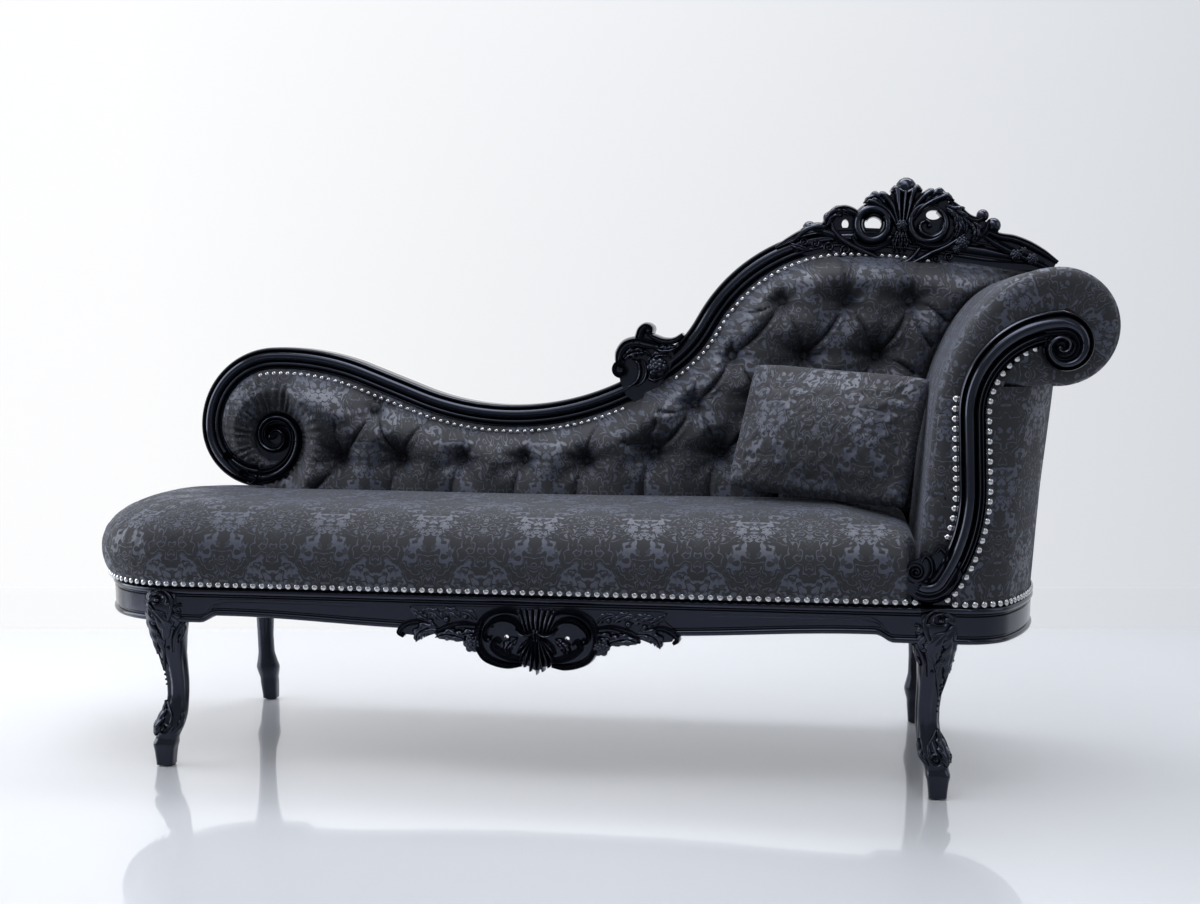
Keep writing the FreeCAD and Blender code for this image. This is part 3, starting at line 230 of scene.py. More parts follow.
def woven_damask():
    """Jacquard damask: matt medallions and sprigs on a satin ground that catches the light."""
    cloth = settings().fabric
    wide, high = cloth.repeat_wide, cloth.repeat_high
    material, tree, shader = new_material("woven_damask")
    do = functools.partial(maths, tree)
    uv = add(tree, "ShaderNodeUVMap", uv_map="cloth")
    cut = add(tree, "ShaderNodeSeparateXYZ", {0: uv.outputs[0]}).outputs
    # Point paper: mirrored across each repeat and come round again up the cloth
    mirrored = do("PINGPONG", cut[0], wide / 2)
    turn = do("MULTIPLY", cut[1], 2 * math.pi / high)
    spot = add(tree, "ShaderNodeCombineXYZ", {
        0: do("MULTIPLY", mirrored, 2 * math.pi / high),
        1: do("SINE", turn), 2: do("COSINE", turn)}).outputs[0]
    # The drawing wanders like hand-cut leaves: places are shifted by up to about 25 mm
    drift = noise(tree, spot, 1.9, 1.0).outputs["Color"]
    shift = add(tree, "ShaderNodeVectorMath", {0: drift, 1: (0.5, 0.5, 0.5)},
                operation="SUBTRACT")
    aside = add(tree, "ShaderNodeSeparateXYZ", {0: shift.outputs[0]}).outputs
    x = do("MULTIPLY_ADD", aside[0], 0.085, mirrored)
    y = do("MULTIPLY_ADD", aside[1], 0.110, cut[1])
    # Two medallions to a repeat, the second set half a drop away
    first_y = do("WRAP", y, high / 2, -high / 2)
    other_y = do("WRAP", do("ADD", y, high / 2), high / 2, -high / 2)
    other_x = do("SUBTRACT", wide / 2, x)
    near = do("MINIMUM", medallion(tree, x, first_y, 0.34 * wide, 0.40 * high, 9.0),
              medallion(tree, other_x, other_y, 0.27 * wide, 0.34 * high, 7.0))
    # Satin lines inside the figure, and a fine outline round it
    lines = ramp(tree, do("SINE", do("MULTIPLY", near, 27.0)), 0.55, 0.85)
    inside = do("MULTIPLY_ADD", lines, -0.8, ramp(tree, near, 1.03, 0.99), use_clamp=True)
    rim = do("COMPARE", near, 1.16, 0.035)
    sprig = ramp(tree, noise(tree, spot, 4.2, 0.8).outputs[0], 0.565, 0.58, 0.0, 0.8)
    mask = do("MAXIMUM", do("MAXIMUM", inside, rim), sprig)
    # Dyed yarn varies a little in depth along the piece
    slub = noise(tree, own_space(tree), 9.0, 3.0).outputs[0]
    # Threads are about 0.6 mm apart in the cloth; they are drawn 1.6 mm apart so that they show
    warp = do("SINE", do("MULTIPLY", cut[0], 2 * math.pi / 0.0016))
    weft = do("SINE", do("MULTIPLY", cut[1], 2 * math.pi / 0.0023))
    relief = do("MULTIPLY_ADD", do("MULTIPLY", warp, weft), 0.10, mask)
    wire(tree, shader, {
        "Base Color": blend(tree, mask, blend(tree, slub, cloth.ground, "#474D5C"),
                            blend(tree, slub, cloth.motif, "#303135")),
        "Roughness": ramp(tree, mask, 0.0, 1.0, 0.45, 0.74),
        "Specular IOR Level": ramp(tree, mask, 0.0, 1.0, 0.42, 0.26),
        "Normal": bump(tree, 0.5, 0.0005, relief),
        "Sheen Weight": 0.16, "Sheen Roughness": 0.45, "Sheen Tint": tint("#B4BACA")})
    return material


def polished_lacquer():
    """Black lacquer rubbed to a mirror over carved beech: deep, with faint polishing haze."""
    wood = settings().wood
    material, tree, shader = new_material("polished_black_lacquer")
    place = own_space(tree)
    haze = noise(tree, place, 34.0, 4.0).outputs[0]
    # Tool marks left by the carver, 6 mm apart and softened by the lacquer
    marks = noise(tree, place, 1 / 0.006).outputs[0]
    wire(tree, shader, {
        "Base Color": blend(tree, haze, wood.lacquer, "#0E1015"),
        "Roughness": ramp(tree, haze, 0.3, 0.75, wood.gloss, wood.gloss + 0.08),
        "Normal": bump(tree, 0.10, 0.0006, marks),
        "Specular IOR Level": 0.6, "Specular Tint": tint("#CDD6F4")})
    return material


def nickel_plate():
    """Nickel-plated steel, pressed: bright domes with a slightly hammered skin."""
    material, tree, shader = new_material("nickel_plated_nails")
    dents = noise(tree, own_space(tree), 420.0).outputs[0]
    wire(tree, shader, {
        "Base Color": blend(tree, dents, settings().nails.metal, "#9FA1A6"),
        "Roughness": ramp(tree, dents, 0.0, 1.0, 0.12, 0.32),
        "Normal": bump(tree, 0.35, 0.0005, dents), "Metallic": 1.0})
    return material


def sawn_beech():
    """Planed beech, left bare inside the frame: pale brown with fine straight grain."""
    material, tree, shader = new_material("sawn_beech")
    stretch = add(tree, "ShaderNodeMapping", {0: own_space(tree), 3: (6.0, 90.0, 90.0)})
    grain = noise(tree, stretch.outputs[0], 2.0, 6.0).outputs[0]
    wire(tree, shader, {"Base Color": blend(tree, grain, "#7A5B3C", "#B08D63"),
                        "Normal": bump(tree, 0.2, 0.0005, grain), "Roughness": 0.62})
    return material


def coarse_cloth(name, first, second):
    """Jute webbing or cambric: open plain weave, drawn 3 mm apart so that it shows."""
    material, tree, shader = new_material(name)
    weave = add(tree, "ShaderNodeTexBrick", {"Vector": own_space(tree), "Scale": 1 / 0.006,
                                             "Color1": tint(first), "Color2": tint(second),
                                             "Mortar": tint("#0B0A09"), "Mortar Size": 0.03})
    wire(tree, shader, {"Base Color": weave.outputs["Color"], "Roughness": 0.9,
                        "Normal": bump(tree, 0.4, 0.0006, weave.outputs["Fac"])})
    return material


def moulded_nylon():
    """Moulded nylon glide: satin black with a faint mould haze."""
    material, tree, shader = new_material("moulded_nylon")
    haze = noise(tree, own_space(tree), 200.0).outputs[0]
    wire(tree, shader, {"Base Color": blend(tree, haze, "#0D0D0E", "#1A1A1B"),
                        "Roughness": 0.5})
    return material


MATERIALS = {}


def finish(key):
    """The material of that key, made once."""
    makers = {"damask": woven_damask, "lacquer": polished_lacquer, "nickel": nickel_plate,
              "beech": sawn_beech, "nylon": moulded_nylon,
              "jute": lambda: coarse_cloth("jute_webbing", "#6E5D45", "#54462F"),
              "cambric": lambda: coarse_cloth("black_cambric", "#15151A", "#0E0E12")}
    if key not in MATERIALS:
        MATERIALS[key] = makers[key]()
    return MATERIALS[key]


# Paths and meshes, in millimetres

def track(start, heading, steps, pitch=5.0):
    """Straight runs and tangent arcs as closely spaced points: places, headings, lengths."""
    at, angle, far = np.array(start, float), math.radians(heading), 0.0
    places, heads, lengths = [at], [angle], [0.0]
    for step in steps:
        reach = step[0] if len(step) == 1 else step[0] * math.radians(abs(step[1]))
        count = max(2, math.ceil(reach / pitch))
        if len(step) == 2:
            count = max(count, math.ceil(abs(step[1]) / 6))
            side = math.copysign(1, step[1])
            hub = at + side * step[0] * np.array([-math.sin(angle), math.cos(angle)])
            first = angle
        for i in range(1, count + 1):
            if len(step) == 1:
                place = at + np.array([math.cos(angle), math.sin(angle)]) * reach * i / count
            else:
                angle = first + math.radians(step[1]) * i / count
                place = hub + side * step[0] * np.array([math.sin(angle), -math.cos(angle)])
            places.append(place)
            heads.append(angle)
            lengths.append(far + reach * i / count)
        at, far = places[-1], far + reach
    return np.array(places), np.array(heads), np.array(lengths)


def along(path, lengths):
    """Places and headings of a track at given lengths."""
    places, heads, runs = path
    lengths = np.asarray(lengths, float)
    spots = np.stack([np.interp(lengths, runs, places[:, i]) for i in (0, 1)], 1)
    return spots, np.interp(lengths, runs, heads)


def low_track():
    return track(LOW_START, LOW_HEADING, LOW_STEPS)


def high_track():
    return track(HIGH_START, HIGH_HEADING, HIGH_STEPS)


def head_track(count=5):
    return track(HEAD_START, HEAD_LEAN, HEAD_STEPS[:count])


def facing_track():
    return track(FACING_START, FACING_HEADING, FACING_STEPS)


def end_track(start_x, curve_x, corner, turn, face=RAIL_FACE, pitch=5.0):
    """An end's outline in plan: along the front, round its bow and back along the rear."""
    lean = math.radians(turn)
    bow = (face - corner * (1 - math.cos(lean))) / math.cos(lean)
    way = 1 if curve_x > start_x else -1
    run = abs(curve_x - start_x)
    steps = [(run,), (corner, way * turn), (bow, way * 2 * (90 - turn)), (corner, way * turn),
             (run,)]
    return track((start_x, -face), 0 if way > 0 else 180, steps, pitch)


def plan_track(start_x):
    """The seat's outline in plan, round the foot end."""
    return end_track(start_x, FOOT_CURVE_X, FOOT_CORNER, FOOT_TURN)


def head_plan_track(start_x):
    """The head end's outline in plan, from the front leg round to the rear one."""
    return end_track(start_x, HEAD_CURVE_X, HEAD_CORNER, HEAD_TURN)


def to_front(u, v, w):
    """Front view: across, up, and depth towards the rear."""
    return np.stack([u, w, v], -1)


def to_plan(u, v, w):
    """Plan view: across, depth, and height."""
    return np.stack([u, v, w], -1)


def lefts(heads):
    """Unit vectors to the left of headings."""
    return np.stack([-np.sin(heads), np.cos(heads)], -1)


def numbers(text):
    """Numbers written as a row, or as several rows parted by commas."""
    rows = [[float(number) for number in row.split()] for row in text.split(",")]
    return np.array(rows if len(rows) > 1 else rows[0])


def grid_faces(rows, columns, closed=False):
    """Quads of a grid of points, its columns joined round when closed."""
    faces = []
    for i in range(rows - 1):
        for j in range(columns if closed else columns - 1):
            k = (j + 1) % columns
            quad = (i * columns + j, i * columns + k, (i + 1) * columns + k,
                    (i + 1) * columns + j)
            faces.append(quad)
    return faces


def tube_faces(rows, columns):
    """Faces of closed rings joined along, with both ends capped."""
    return grid_faces(rows, columns, closed=True) + [
        tuple(range(columns))[::-1], tuple(range((rows - 1) * columns, rows * columns))]


def sweep(path, profile, view=to_front, scale=None):
    """A closed bar: profile pairs are sideways (left positive) and depth; ends are capped."""
    places, heads, lengths = path
    profile = np.array(profile, float)
    if profile.ndim == 2:
        profile = np.repeat(profile[None], len(places), 0)
    grow = np.ones(len(places)) if scale is None else np.asarray(scale)
    sides = (profile[:, :, 0] * grow[:, None])[..., None]
    spots = places[:, None, :] + lefts(heads)[:, None, :] * sides
    verts = view(spots[..., 0], spots[..., 1], profile[:, :, 1]).reshape(-1, 3)
    return verts, tube_faces(*profile.shape[:2])


def disc(hub, radius, sides, front, rear):
    """A round plate in the front view, from one depth to another."""
    turns = np.linspace(0, 2 * math.pi, sides + 1)[:-1]
    ring = hub + radius * np.stack([np.cos(turns), np.sin(turns)], -1)
    rings = [to_front(ring[:, 0], ring[:, 1], np.full(sides, y)) for y in (front, rear)]
    return np.concatenate(rings), tube_faces(2, sides)


def bead(left, right, base, crown, count=6):
    """Rounded moulding between two sideways places, from depth base up to depth crown."""
    turns = np.linspace(0, math.pi, count + 1)
    middle, half = (left + right) / 2, (right - left) / 2
    return [(middle - half * math.cos(a), base + (crown - base) * math.sin(a)) for a in turns]


@contextlib.contextmanager
def opened(mesh):
    """A mesh opened for changes, and written back."""
    work = bmesh.new()
    work.from_mesh(mesh)
    yield work
    work.to_mesh(mesh)
    work.free()


def mark_sharp(mesh, degrees):
    """Shade smooth but for edges that turn by more than the given angle."""
    limit = math.radians(degrees)
    with opened(mesh) as work:
        for face in work.faces:
            face.smooth = True
        for edge in work.edges:
            edge.smooth = len(edge.link_faces) != 2 or edge.calc_face_angle(0) < limit


def welded(name, verts, faces):
    """A mesh whose doubles are joined and whose faces look outwards."""
    mesh = bpy.data.meshes.new(name)
    mesh.from_pydata(verts.tolist(), [], faces)
    with opened(mesh) as work:
        bmesh.ops.remove_doubles(work, verts=work.verts, dist=1e-6)
        spare = [vert for vert in work.verts if not vert.link_faces]
        bmesh.ops.delete(work, geom=spare, context="VERTS")
        bmesh.ops.recalc_face_normals(work, faces=work.faces)
    return mesh


def linked(name, data):
    """A new object that holds the data, in the scene."""
    thing = bpy.data.objects.new(name, data)
    bpy.context.scene.collection.objects.link(thing)
    return thing


def baked(thing):
    """The mesh that an object's modifiers make."""
    graph = bpy.context.evaluated_depsgraph_get()
    return bpy.data.meshes.new_from_object(thing.evaluated_get(graph))


def coordinates(thing):
    """Every vertex's place, in metres."""
    spots = np.empty(len(thing.data.vertices) * 3)
    thing.data.vertices.foreach_get("co", spots)
    return spots.reshape(-1, 3)


def piece(name, parts, material, sharp=38):
    """Make one object of several (verts, faces) parts, in millimetres, and let it ride."""
    verts, faces, start = [], [], 0
    for points, polygons in parts:
        verts.append(np.asarray(points, float) * MM)
        faces += [tuple(int(i) + start for i in polygon) for polygon in polygons]
        start += len(points)
    mesh = welded(name, np.concatenate(verts), faces)
    mark_sharp(mesh, sharp)
    mesh.materials.append(finish(material))
    thing = linked(name, mesh)
    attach(thing, COUCH)
    return thing


def lacquered(name, parts, node, sharp=38):
    """A piece of carved or moulded wood in black lacquer, in place of a node."""
    thing = piece(name, parts, "lacquer", sharp)
    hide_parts(node)


def upholstered(name, parts, node, sharp=60):
    """A piece of soft padding under damask, in place of a node."""
    thing = piece(name, parts, "damask", sharp)
    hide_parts(node)
    return thing


def drape_uv(thing, across, up):
    """Lay the cloth's own coordinates, in metres, from a pair for each vertex."""
    mesh = thing.data
    corners = np.empty(len(mesh.loops), int)
    mesh.loops.foreach_get("vertex_index", corners)
    layer = mesh.uv_layers.get("cloth") or mesh.uv_layers.new(name="cloth")
    table = np.stack([across, up], -1)
    layer.data.foreach_set("uv", table[corners].astype(np.float32).ravel())


def nearest(path, spots):
    """Signed sideways distance from a track (left positive) and the length along it."""
    places, heads, lengths = path
    tree = kdtree.KDTree(len(places))
    for i, place in enumerate(places):
        tree.insert((place[0], place[1], 0), i)
    tree.balance()
    sides, runs = np.empty(len(spots)), np.empty(len(spots))
    for i, spot in enumerate(spots):
        _, index, _ = tree.find((spot[0], spot[1], 0))
        gap = spot - places[index]
        sides[i] = -gap[0] * math.sin(heads[index]) + gap[1] * math.cos(heads[index])
        forward = gap[0] * math.cos(heads[index]) + gap[1] * math.sin(heads[index])
        runs[i] = lengths[index] + forward
    return sides, runs


# Carving: strokes, leaves, knobs and flowers laid on a surface

ROUND = [0.0, 0.52, 0.8, 0.95, 1.0, 0.95, 0.8, 0.52, 0.0]
FLUTED = [0.0, 0.7, 1.0, 0.86, 0.66, 0.62, 0.66, 0.86, 1.0, 0.7, 0.0]
KEELED = [0.0, 0.34, 0.6, 0.84, 1.0, 0.84, 0.6, 0.34, 0.0]


def smooth_line(points, pitch=3.0):
    """Catmull-Rom curve through given points, with its headings and shares along."""
    points = np.array(points, float)
    padded = np.vstack([2 * points[0] - points[1], points, 2 * points[-1] - points[-2]])
    spots, shares = [], []
    for i in range(1, len(padded) - 2):
        a, b, c, d = padded[i - 1:i + 3]
        count = max(2, int(np.linalg.norm(c - b) / pitch))
        for k in range(count):
            t = k / count
            spots.append(0.5 * ((2 * b) + (c - a) * t + (2 * a - 5 * b + 4 * c - d) * t ** 2
                                + (3 * b - a - 3 * c + d) * t ** 3))
            shares.append((i - 1 + t) / (len(points) - 1))
    spots.append(points[-1])
    shares.append(1.0)
    spots = np.array(spots)
    tangents = np.gradient(spots, axis=0)
    return spots, np.unwrap(np.arctan2(tangents[:, 1], tangents[:, 0])), np.array(shares)


def oval(hub, wide, high, count=20):
    """A closed ring of points round a hub."""
    return [(hub[0] + wide * math.cos(2 * math.pi * i / count),
             hub[1] + high * math.sin(2 * math.pi * i / count)) for i in range(count)]


def curl(hub, radius, start, turns, shrink=0.3, count=None):
    """Points of a spiral about a hub that tightens to shrink times its radius."""
    count = count or max(8, int(abs(turns) * 10))
    spots = []
    for i in range(count + 1):
        t = i / count
        angle = math.radians(start) + 2 * math.pi * turns * t
        reach = radius * (1 + (shrink - 1) * t)
        spots.append((hub[0] + reach * math.cos(angle), hub[1] + reach * math.sin(angle)))
    return spots


class Carving:
    """Collects carved forms; lay maps across, up and rise to a place in the row frame."""

    def __init__(self, lay, middle=0.0):
        self.lay = lay
        self.parts = []
        # Points given as text are mirrored to the hand being carved, about the middle
        self.hand, self.middle = 1, middle

    def points(self, given):
        """Given points as numbers."""
        if isinstance(given, str):
            return numbers(given) * (self.hand, 1) + (self.middle, 0)
        return given

    def stroke(self, points, widths, rise, section=FLUTED, base=0.0):
        """A swept rib whose width and rise follow the lists along its length."""
        spots, heads, shares = smooth_line(self.points(points))
        wide, high = (np.interp(shares, np.linspace(0, 1, len(row)), row) for row in
                      (numbers(row) if isinstance(row, str) else row for row in (widths, rise)))
        sides = np.concatenate([np.linspace(-0.5, 0.5, len(section)), [0.5, -0.5]])
        lifts = np.concatenate([section, [0, 0]])
        deep = np.concatenate([np.zeros(len(section)), [1, 1]])
        across = spots[:, None, :] \
            + lefts(heads)[:, None, :] * (sides[None] * wide[:, None])[..., None]
        lift = lifts[None] * high[:, None] + (1 - deep)[None] * 0.001 - deep[None] * base
        verts = self.lay(across[..., 0], across[..., 1], lift).reshape(-1, 3)
        self.parts.append((verts, tube_faces(*lift.shape)))

    def leaf(self, points, width, lobes=4, rise=8.0, lift=0.0, base=2.0):
        """An acanthus leaf: lobed edges, a sunk midrib, veined lobes and a tip that lifts."""
        spots, heads, shares = smooth_line(self.points(points), 2.4)
        front = np.stack([np.cos(heads), np.sin(heads)], -1)
        across = np.linspace(-1, 1, 15)[None]
        out = np.abs(across)
        envelope = np.sin(np.pi * np.clip(shares, 0, 1) ** 0.62) ** 0.8
        envelope = np.maximum(envelope, 0.10)[:, None]
        comb = 0.5 + 0.5 * np.cos(2 * np.pi * (lobes * shares[:, None] - 0.45 * out))
        edge = 1 - 0.30 * (1 - comb) * out ** 1.5
        half = width / 2 * envelope * edge
        reach = (out ** 1.4) * 0.55 * half
        spread = spots[:, None, :] + lefts(heads)[:, None, :] * (across * half)[..., None] \
            + front[:, None, :] * reach[..., None]
        dome = np.sqrt(np.clip(1 - 0.86 * across ** 2, 0, 1))
        vein = 0.24 * (comb - 0.5) * np.minimum(1, 2.2 * out)
        rib = -0.30 * np.exp(-(across / 0.13) ** 2)
        raised = lift * shares[:, None] ** 3
        high = rise * (0.35 + 0.65 * envelope) * (dome + vein + rib) + raised
        top = self.lay(spread[..., 0], spread[..., 1], np.maximum(high, 0.4))
        under = self.lay(spread[..., 0], spread[..., 1], np.minimum(high - 2.5, raised - base))
        rows, columns = high.shape
        faces = grid_faces(rows, columns)
        shift = rows * columns
        faces += [tuple(i + shift for i in face[::-1]) for face in faces]
        rim = list(range(columns))
        rim += [i * columns + columns - 1 for i in range(1, rows)]
        rim += [(rows - 1) * columns + j for j in range(columns - 2, -1, -1)]
        rim += [i * columns for i in range(rows - 2, 0, -1)]
        for a, b in zip(rim, rim[1:] + rim[:1]):
            faces.append((a, a + shift, b + shift, b))
        self.parts.append((np.concatenate([top.reshape(-1, 3), under.reshape(-1, 3)]), faces))

    def strokes(self, section, base, rows):
        """Strokes of one section: the points, widths and rises of each."""
        for points, widths, rise in rows:
            self.stroke(points, widths, rise, section, base)

    def leaves(self, base, rows):
        """Leaves: the points, width, lobes, rise and lift of each."""
        for points, width, lobes, rise, lift in rows:
            self.leaf(points, width, lobes, rise, lift, base)

    def knob(self, spot, radius, rise=None, lift=0.0, rings=8, sides=14):
        """A round boss or bead."""
        spot = self.points(spot)
        rise = radius if rise is None else rise
        turns = np.linspace(0, 2 * math.pi, sides, endpoint=False)
        lats = np.linspace(-math.pi / 2, math.pi / 2, rings + 1)[1:-1]
        u = spot[0] + radius * np.cos(lats)[:, None] * np.cos(turns)[None]
        v = spot[1] + radius * np.cos(lats)[:, None] * np.sin(turns)[None]
        w = lift + rise * np.sin(lats)[:, None] + 0 * turns[None]
        verts = self.lay(u, v, w).reshape(-1, 3)
        poles = self.lay(np.array([spot[0]] * 2, float), np.array([spot[1]] * 2, float),
                         np.array([lift - rise, lift + rise]))
        rows = len(lats)
        faces = grid_faces(rows, sides, closed=True)
        low, high = rows * sides, rows * sides + 1
        for j in range(sides):
            k = (j + 1) % sides
            faces.append((low, k, j))
            faces.append((high, (rows - 1) * sides + j, (rows - 1) * sides + k))
        self.parts.append((np.concatenate([verts, poles]), faces))

    def rose(self, spot, radius, lift=0.0):
        """An open flower of overlapping petals round a bud."""
        spot = self.points(spot)
        for ring, (count, reach, size, high) in enumerate(((6, 0.62, 0.46, 0.30),
                                                           (5, 0.34, 0.36, 0.55))):
            for i in range(count):
                angle = 2 * math.pi * (i + 0.5 * ring) / count
                at = (spot[0] + reach * radius * math.cos(angle),
                      spot[1] + reach * radius * math.sin(angle))
                self.knob(at, size * radius, rise=0.34 * radius, lift=lift + high * radius,
                          rings=6, sides=10)
        self.knob(spot, 0.26 * radius, rise=0.4 * radius, lift=lift + 0.7 * radius, rings=6,
                  sides=10)

    def plate(self, rings, high, low):
        """A flat plate within the first ring and pierced by the others."""
        tops = [[Vector((u, v, 0)) for u, v in ring] for ring in rings]
        spots = np.array([spot for ring in rings for spot in ring], float)
        count = len(spots)
        faces = [tuple(face) for face in tessellate_polygon(tops)]
        faces += [tuple(i + count for i in face[::-1]) for face in faces]
        start = 0
        for ring in rings:
            for i in range(len(ring)):
                a, b = start + i, start + (i + 1) % len(ring)
                faces.append((a, b, b + count, a + count))
            start += len(ring)
        sheets = [self.lay(spots[:, 0], spots[:, 1], np.full(count, float(level)))
                  for level in (high, low)]
        self.parts.append((np.concatenate(sheets), faces))

    def make(self, name, node, sharp=50):
        lacquered(name, self.parts, node, sharp)


# Wooden frame

def under_edge(x):
    """Lower edge of the front rail: deep by the legs, stepped up, easing down to the apron."""
    reach = np.abs(np.asarray(x, float) + 41)
    step = np.clip((604 - reach) / 30, 0, 1)
    ease = np.clip((reach - 190) / 360, 0, 1)
    return 264 + 13 * (step * step * (3 - 2 * step)) * (ease * ease * (3 - 2 * ease)) \
        - 2 * (reach < 190)


def rail_section(under, out=1):
    """Rail in section, outwards and height: tack strip, top bead, sunk flat and lower bead."""
    pairs = [(-12, TACK_TOP), (-12, RAIL_TOP + 2), (-10, RAIL_TOP), (-3, RAIL_TOP)]
    pairs += [(y, z) for z, y in bead(RAIL_TOP, RAIL_TOP - 11, -1, 4)]
    pairs += [(-2.4, RAIL_TOP - 12.5), (-2.4, RAIL_TOP - 14), (0.6, RAIL_TOP - 16)]
    pairs += [(0, under + 15), (-2.6, under + 13), (-2.6, under + 11)]
    pairs += [(y, z) for z, y in bead(under + 10, under + 1, -0.5, 2.6)]
    pairs += [(-4, under), (-40, under), (-40, TACK_TOP)]
    return [(out * y, z) for y, z in pairs]


def straight_rail(side):
    """Long rail between the legs; side is -1 for the front and 1 for the rear."""
    stations = np.arange(-712, 631, 6.0)
    profiles = []
    for x in stations:
        under = float(under_edge(x))
        profiles.append([(side * (RAIL_FACE + y), z) for y, z in rail_section(under)])
    profiles = np.array(profiles)
    rows, columns = profiles.shape[:2]
    verts = np.stack([np.repeat(stations[:, None], columns, 1), profiles[..., 0],
                      profiles[..., 1]], -1).reshape(-1, 3)
    return verts, tube_faces(rows, columns)


def part_track(path, first, last, pitch=6.0):
    """The stretch of a track between two lengths."""
    lengths = np.linspace(first, last, max(2, round((last - first) / pitch)))
    spots, heads = along(path, lengths)
    return spots, heads, lengths - first


def make_rails():
    panel = Carving(lambda u, v, w: to_front(u, v, -RAIL_FACE - w))
    for side in (-1, 1):
        for inset in (0, 5.5):
            spots = [(-41 + side * x, z) for x, z in
                     ((300, 306 - inset), (420, 307.5 - inset), (548 - inset, 307.5 - inset),
                      (571 - inset, 304 - inset), (583 - inset, 296), (590 - inset, 287),
                      (597 - inset, 281 + 0.3 * inset))]
            panel.stroke(spots, "1.0 2.6 3.0 3.2 3.0 2.4 1.0", "1.0 2.0 2.2 1.5", ROUND, base=1)
    lacquered("front_rail_moulded", [straight_rail(-1)] + panel.parts, "front_rail")
    lacquered("rear_rail_moulded", [straight_rail(1)], "rear_rail")
    plan = plan_track(-682)
    foot = part_track(plan, 8, plan[2][-1] - 8)
    bar = sweep(foot, rail_section(RAIL_UNDER), to_plan)
    lacquered("foot_end_rail_moulded", [bar], "foot_end_rail")
    bar = sweep(head_plan_track(606), rail_section(RAIL_UNDER, -1), to_plan)
    lacquered("head_end_rail_moulded", [bar], "head_end_rail")
    drops = Carving(to_plan)
    middle = foot[2][-1] / 2
    for index in range(-4, 5):
        spots, heads = along(foot, [middle + index * 24.6])
        spot = spots[0] + 10 * np.array((math.sin(heads[0]), -math.cos(heads[0])))
        drops.knob(spot, 8.8, rise=11, lift=258)
        drops.knob(spot, 10.6, rise=3.4, lift=261, rings=6)
        drops.knob(spot, 4.0, rise=5.0, lift=248, rings=6, sides=10)
    drops.make("foot_end_drops_turned", "foot_end_drops", sharp=60)


class CHAISE_OT_rails(bpy.types.Operator):
    """Moulded rails round the seat, with drops under the bowed foot end"""
    bl_idname = "chaise.rails"
    bl_label = "Seat rails"

    def execute(self, context):
        make_rails()
        return {"FINISHED"}


# Height, step outwards, radius and squareness of a front leg's sections
FRONT_STATIONS = numbers("3 13 15.2 4.6, 10 13 15.6 4.6, 34 13 18.4 4.2, 40 13 21.4 3.4, "
                         "44 12 21.8 3.0, 48 11 18.8 2.5, 54 9 20.5 2.3, 72 4 24.6 2.2, "
                         "88 -3 23.4 2.1, 104 -9 20.6 2.1, 126 -12 20.0 2.1, 150 -12 20.2 2.2, "
                         "175 -9 21.2 2.3, 200 -5 23.4 2.3, 230 -1 27.2 2.3, 262 1 32.4 2.4, "
                         "290 0 35.4 2.5, 308 0 34.0 2.5, 318 0 30.0 2.5, 324 0 24.0 2.4")
REAR_STATIONS = numbers("3 26 14.8 4.0, 10 26 15.2 4.0, 36 21 17.4 3.4, 48 19 17.8 2.8, "
                        "60 15.5 21.4 2.3, 72 12 24.0 2.2, 84 9 21.0 2.1, 104 4 16.8 2.1, "
                        "140 0 16.2 2.2, 180 0 17.6 2.3, 220 0 20.2 2.6, 250 0 24.4 3.2, "
                        "268 0 27.5 4.2")


# Distance across a leg's carving that counts as one radian round it
LEG_SPREAD = 25.0


def leg_heights(stations):
    return np.linspace(stations[0, 0], stations[-1, 0], 96)


def leg_lay(stations, leg_x, lean_x, side, flutes=0.0):
    """A mapping from across, height and lift to the surface of a leg."""
    heights = leg_heights(stations)
    # Centre, radius and squareness by height, smoothed between the stations
    outs, radii, squares = (
        np.convolve(np.pad(np.interp(heights, stations[:, 0], column), 2, "edge"),
                    [0.1, 0.2, 0.4, 0.2, 0.1], "valid") for column in stations[:, 1:].T)
    diagonal = math.sqrt(0.5) if side < 0 else 0.0
    straight = math.sqrt(0.5) if side < 0 else 1.0
    facing = math.atan2(side * straight, lean_x * diagonal) if side < 0 else math.pi / 2

    def lay(u, v, w):
        theta = facing + np.asarray(u, float) / LEG_SPREAD
        out = np.interp(v, heights, outs)
        radius = np.interp(v, heights, radii)
        square = np.interp(v, heights, squares)
        c, s = np.cos(theta), np.sin(theta)
        rim = (np.abs(c) ** square + np.abs(s) ** square) ** (-1 / square)
        window = np.exp(-((np.asarray(v, float) - 158) / 46) ** 4)
        groove = 1 - flutes * window * (0.5 - 0.5 * np.cos(8 * (theta - facing)))
        reach = radius * rim * groove + w
        return np.stack([leg_x + lean_x * out * diagonal + reach * c,
                         side * (LEG_SIDE_Y + out * straight) + reach * s, v + 0 * reach], -1)

    return lay


def leg_body(stations, lay, sides=64):
    """The leg's own skin, as rings round it."""
    heights = leg_heights(stations)
    around = np.linspace(0, 2 * math.pi * LEG_SPREAD, sides, endpoint=False)
    u, v = np.meshgrid(around, heights)
    return lay(u, v, 0 * u).reshape(-1, 3), tube_faces(len(heights), sides)


def block_part(low, high):
    """A plain block from its lowest to its highest corner."""
    verts = [(x, y, z) for z in (low[2], high[2]) for x, y in
             ((low[0], low[1]), (high[0], low[1]), (high[0], high[1]), (low[0], high[1]))]
    faces = [(3, 2, 1, 0), (4, 5, 6, 7)]
    faces += [(i, (i + 1) % 4, (i + 1) % 4 + 4, i + 4) for i in range(4)]
    return np.array(verts, float), faces


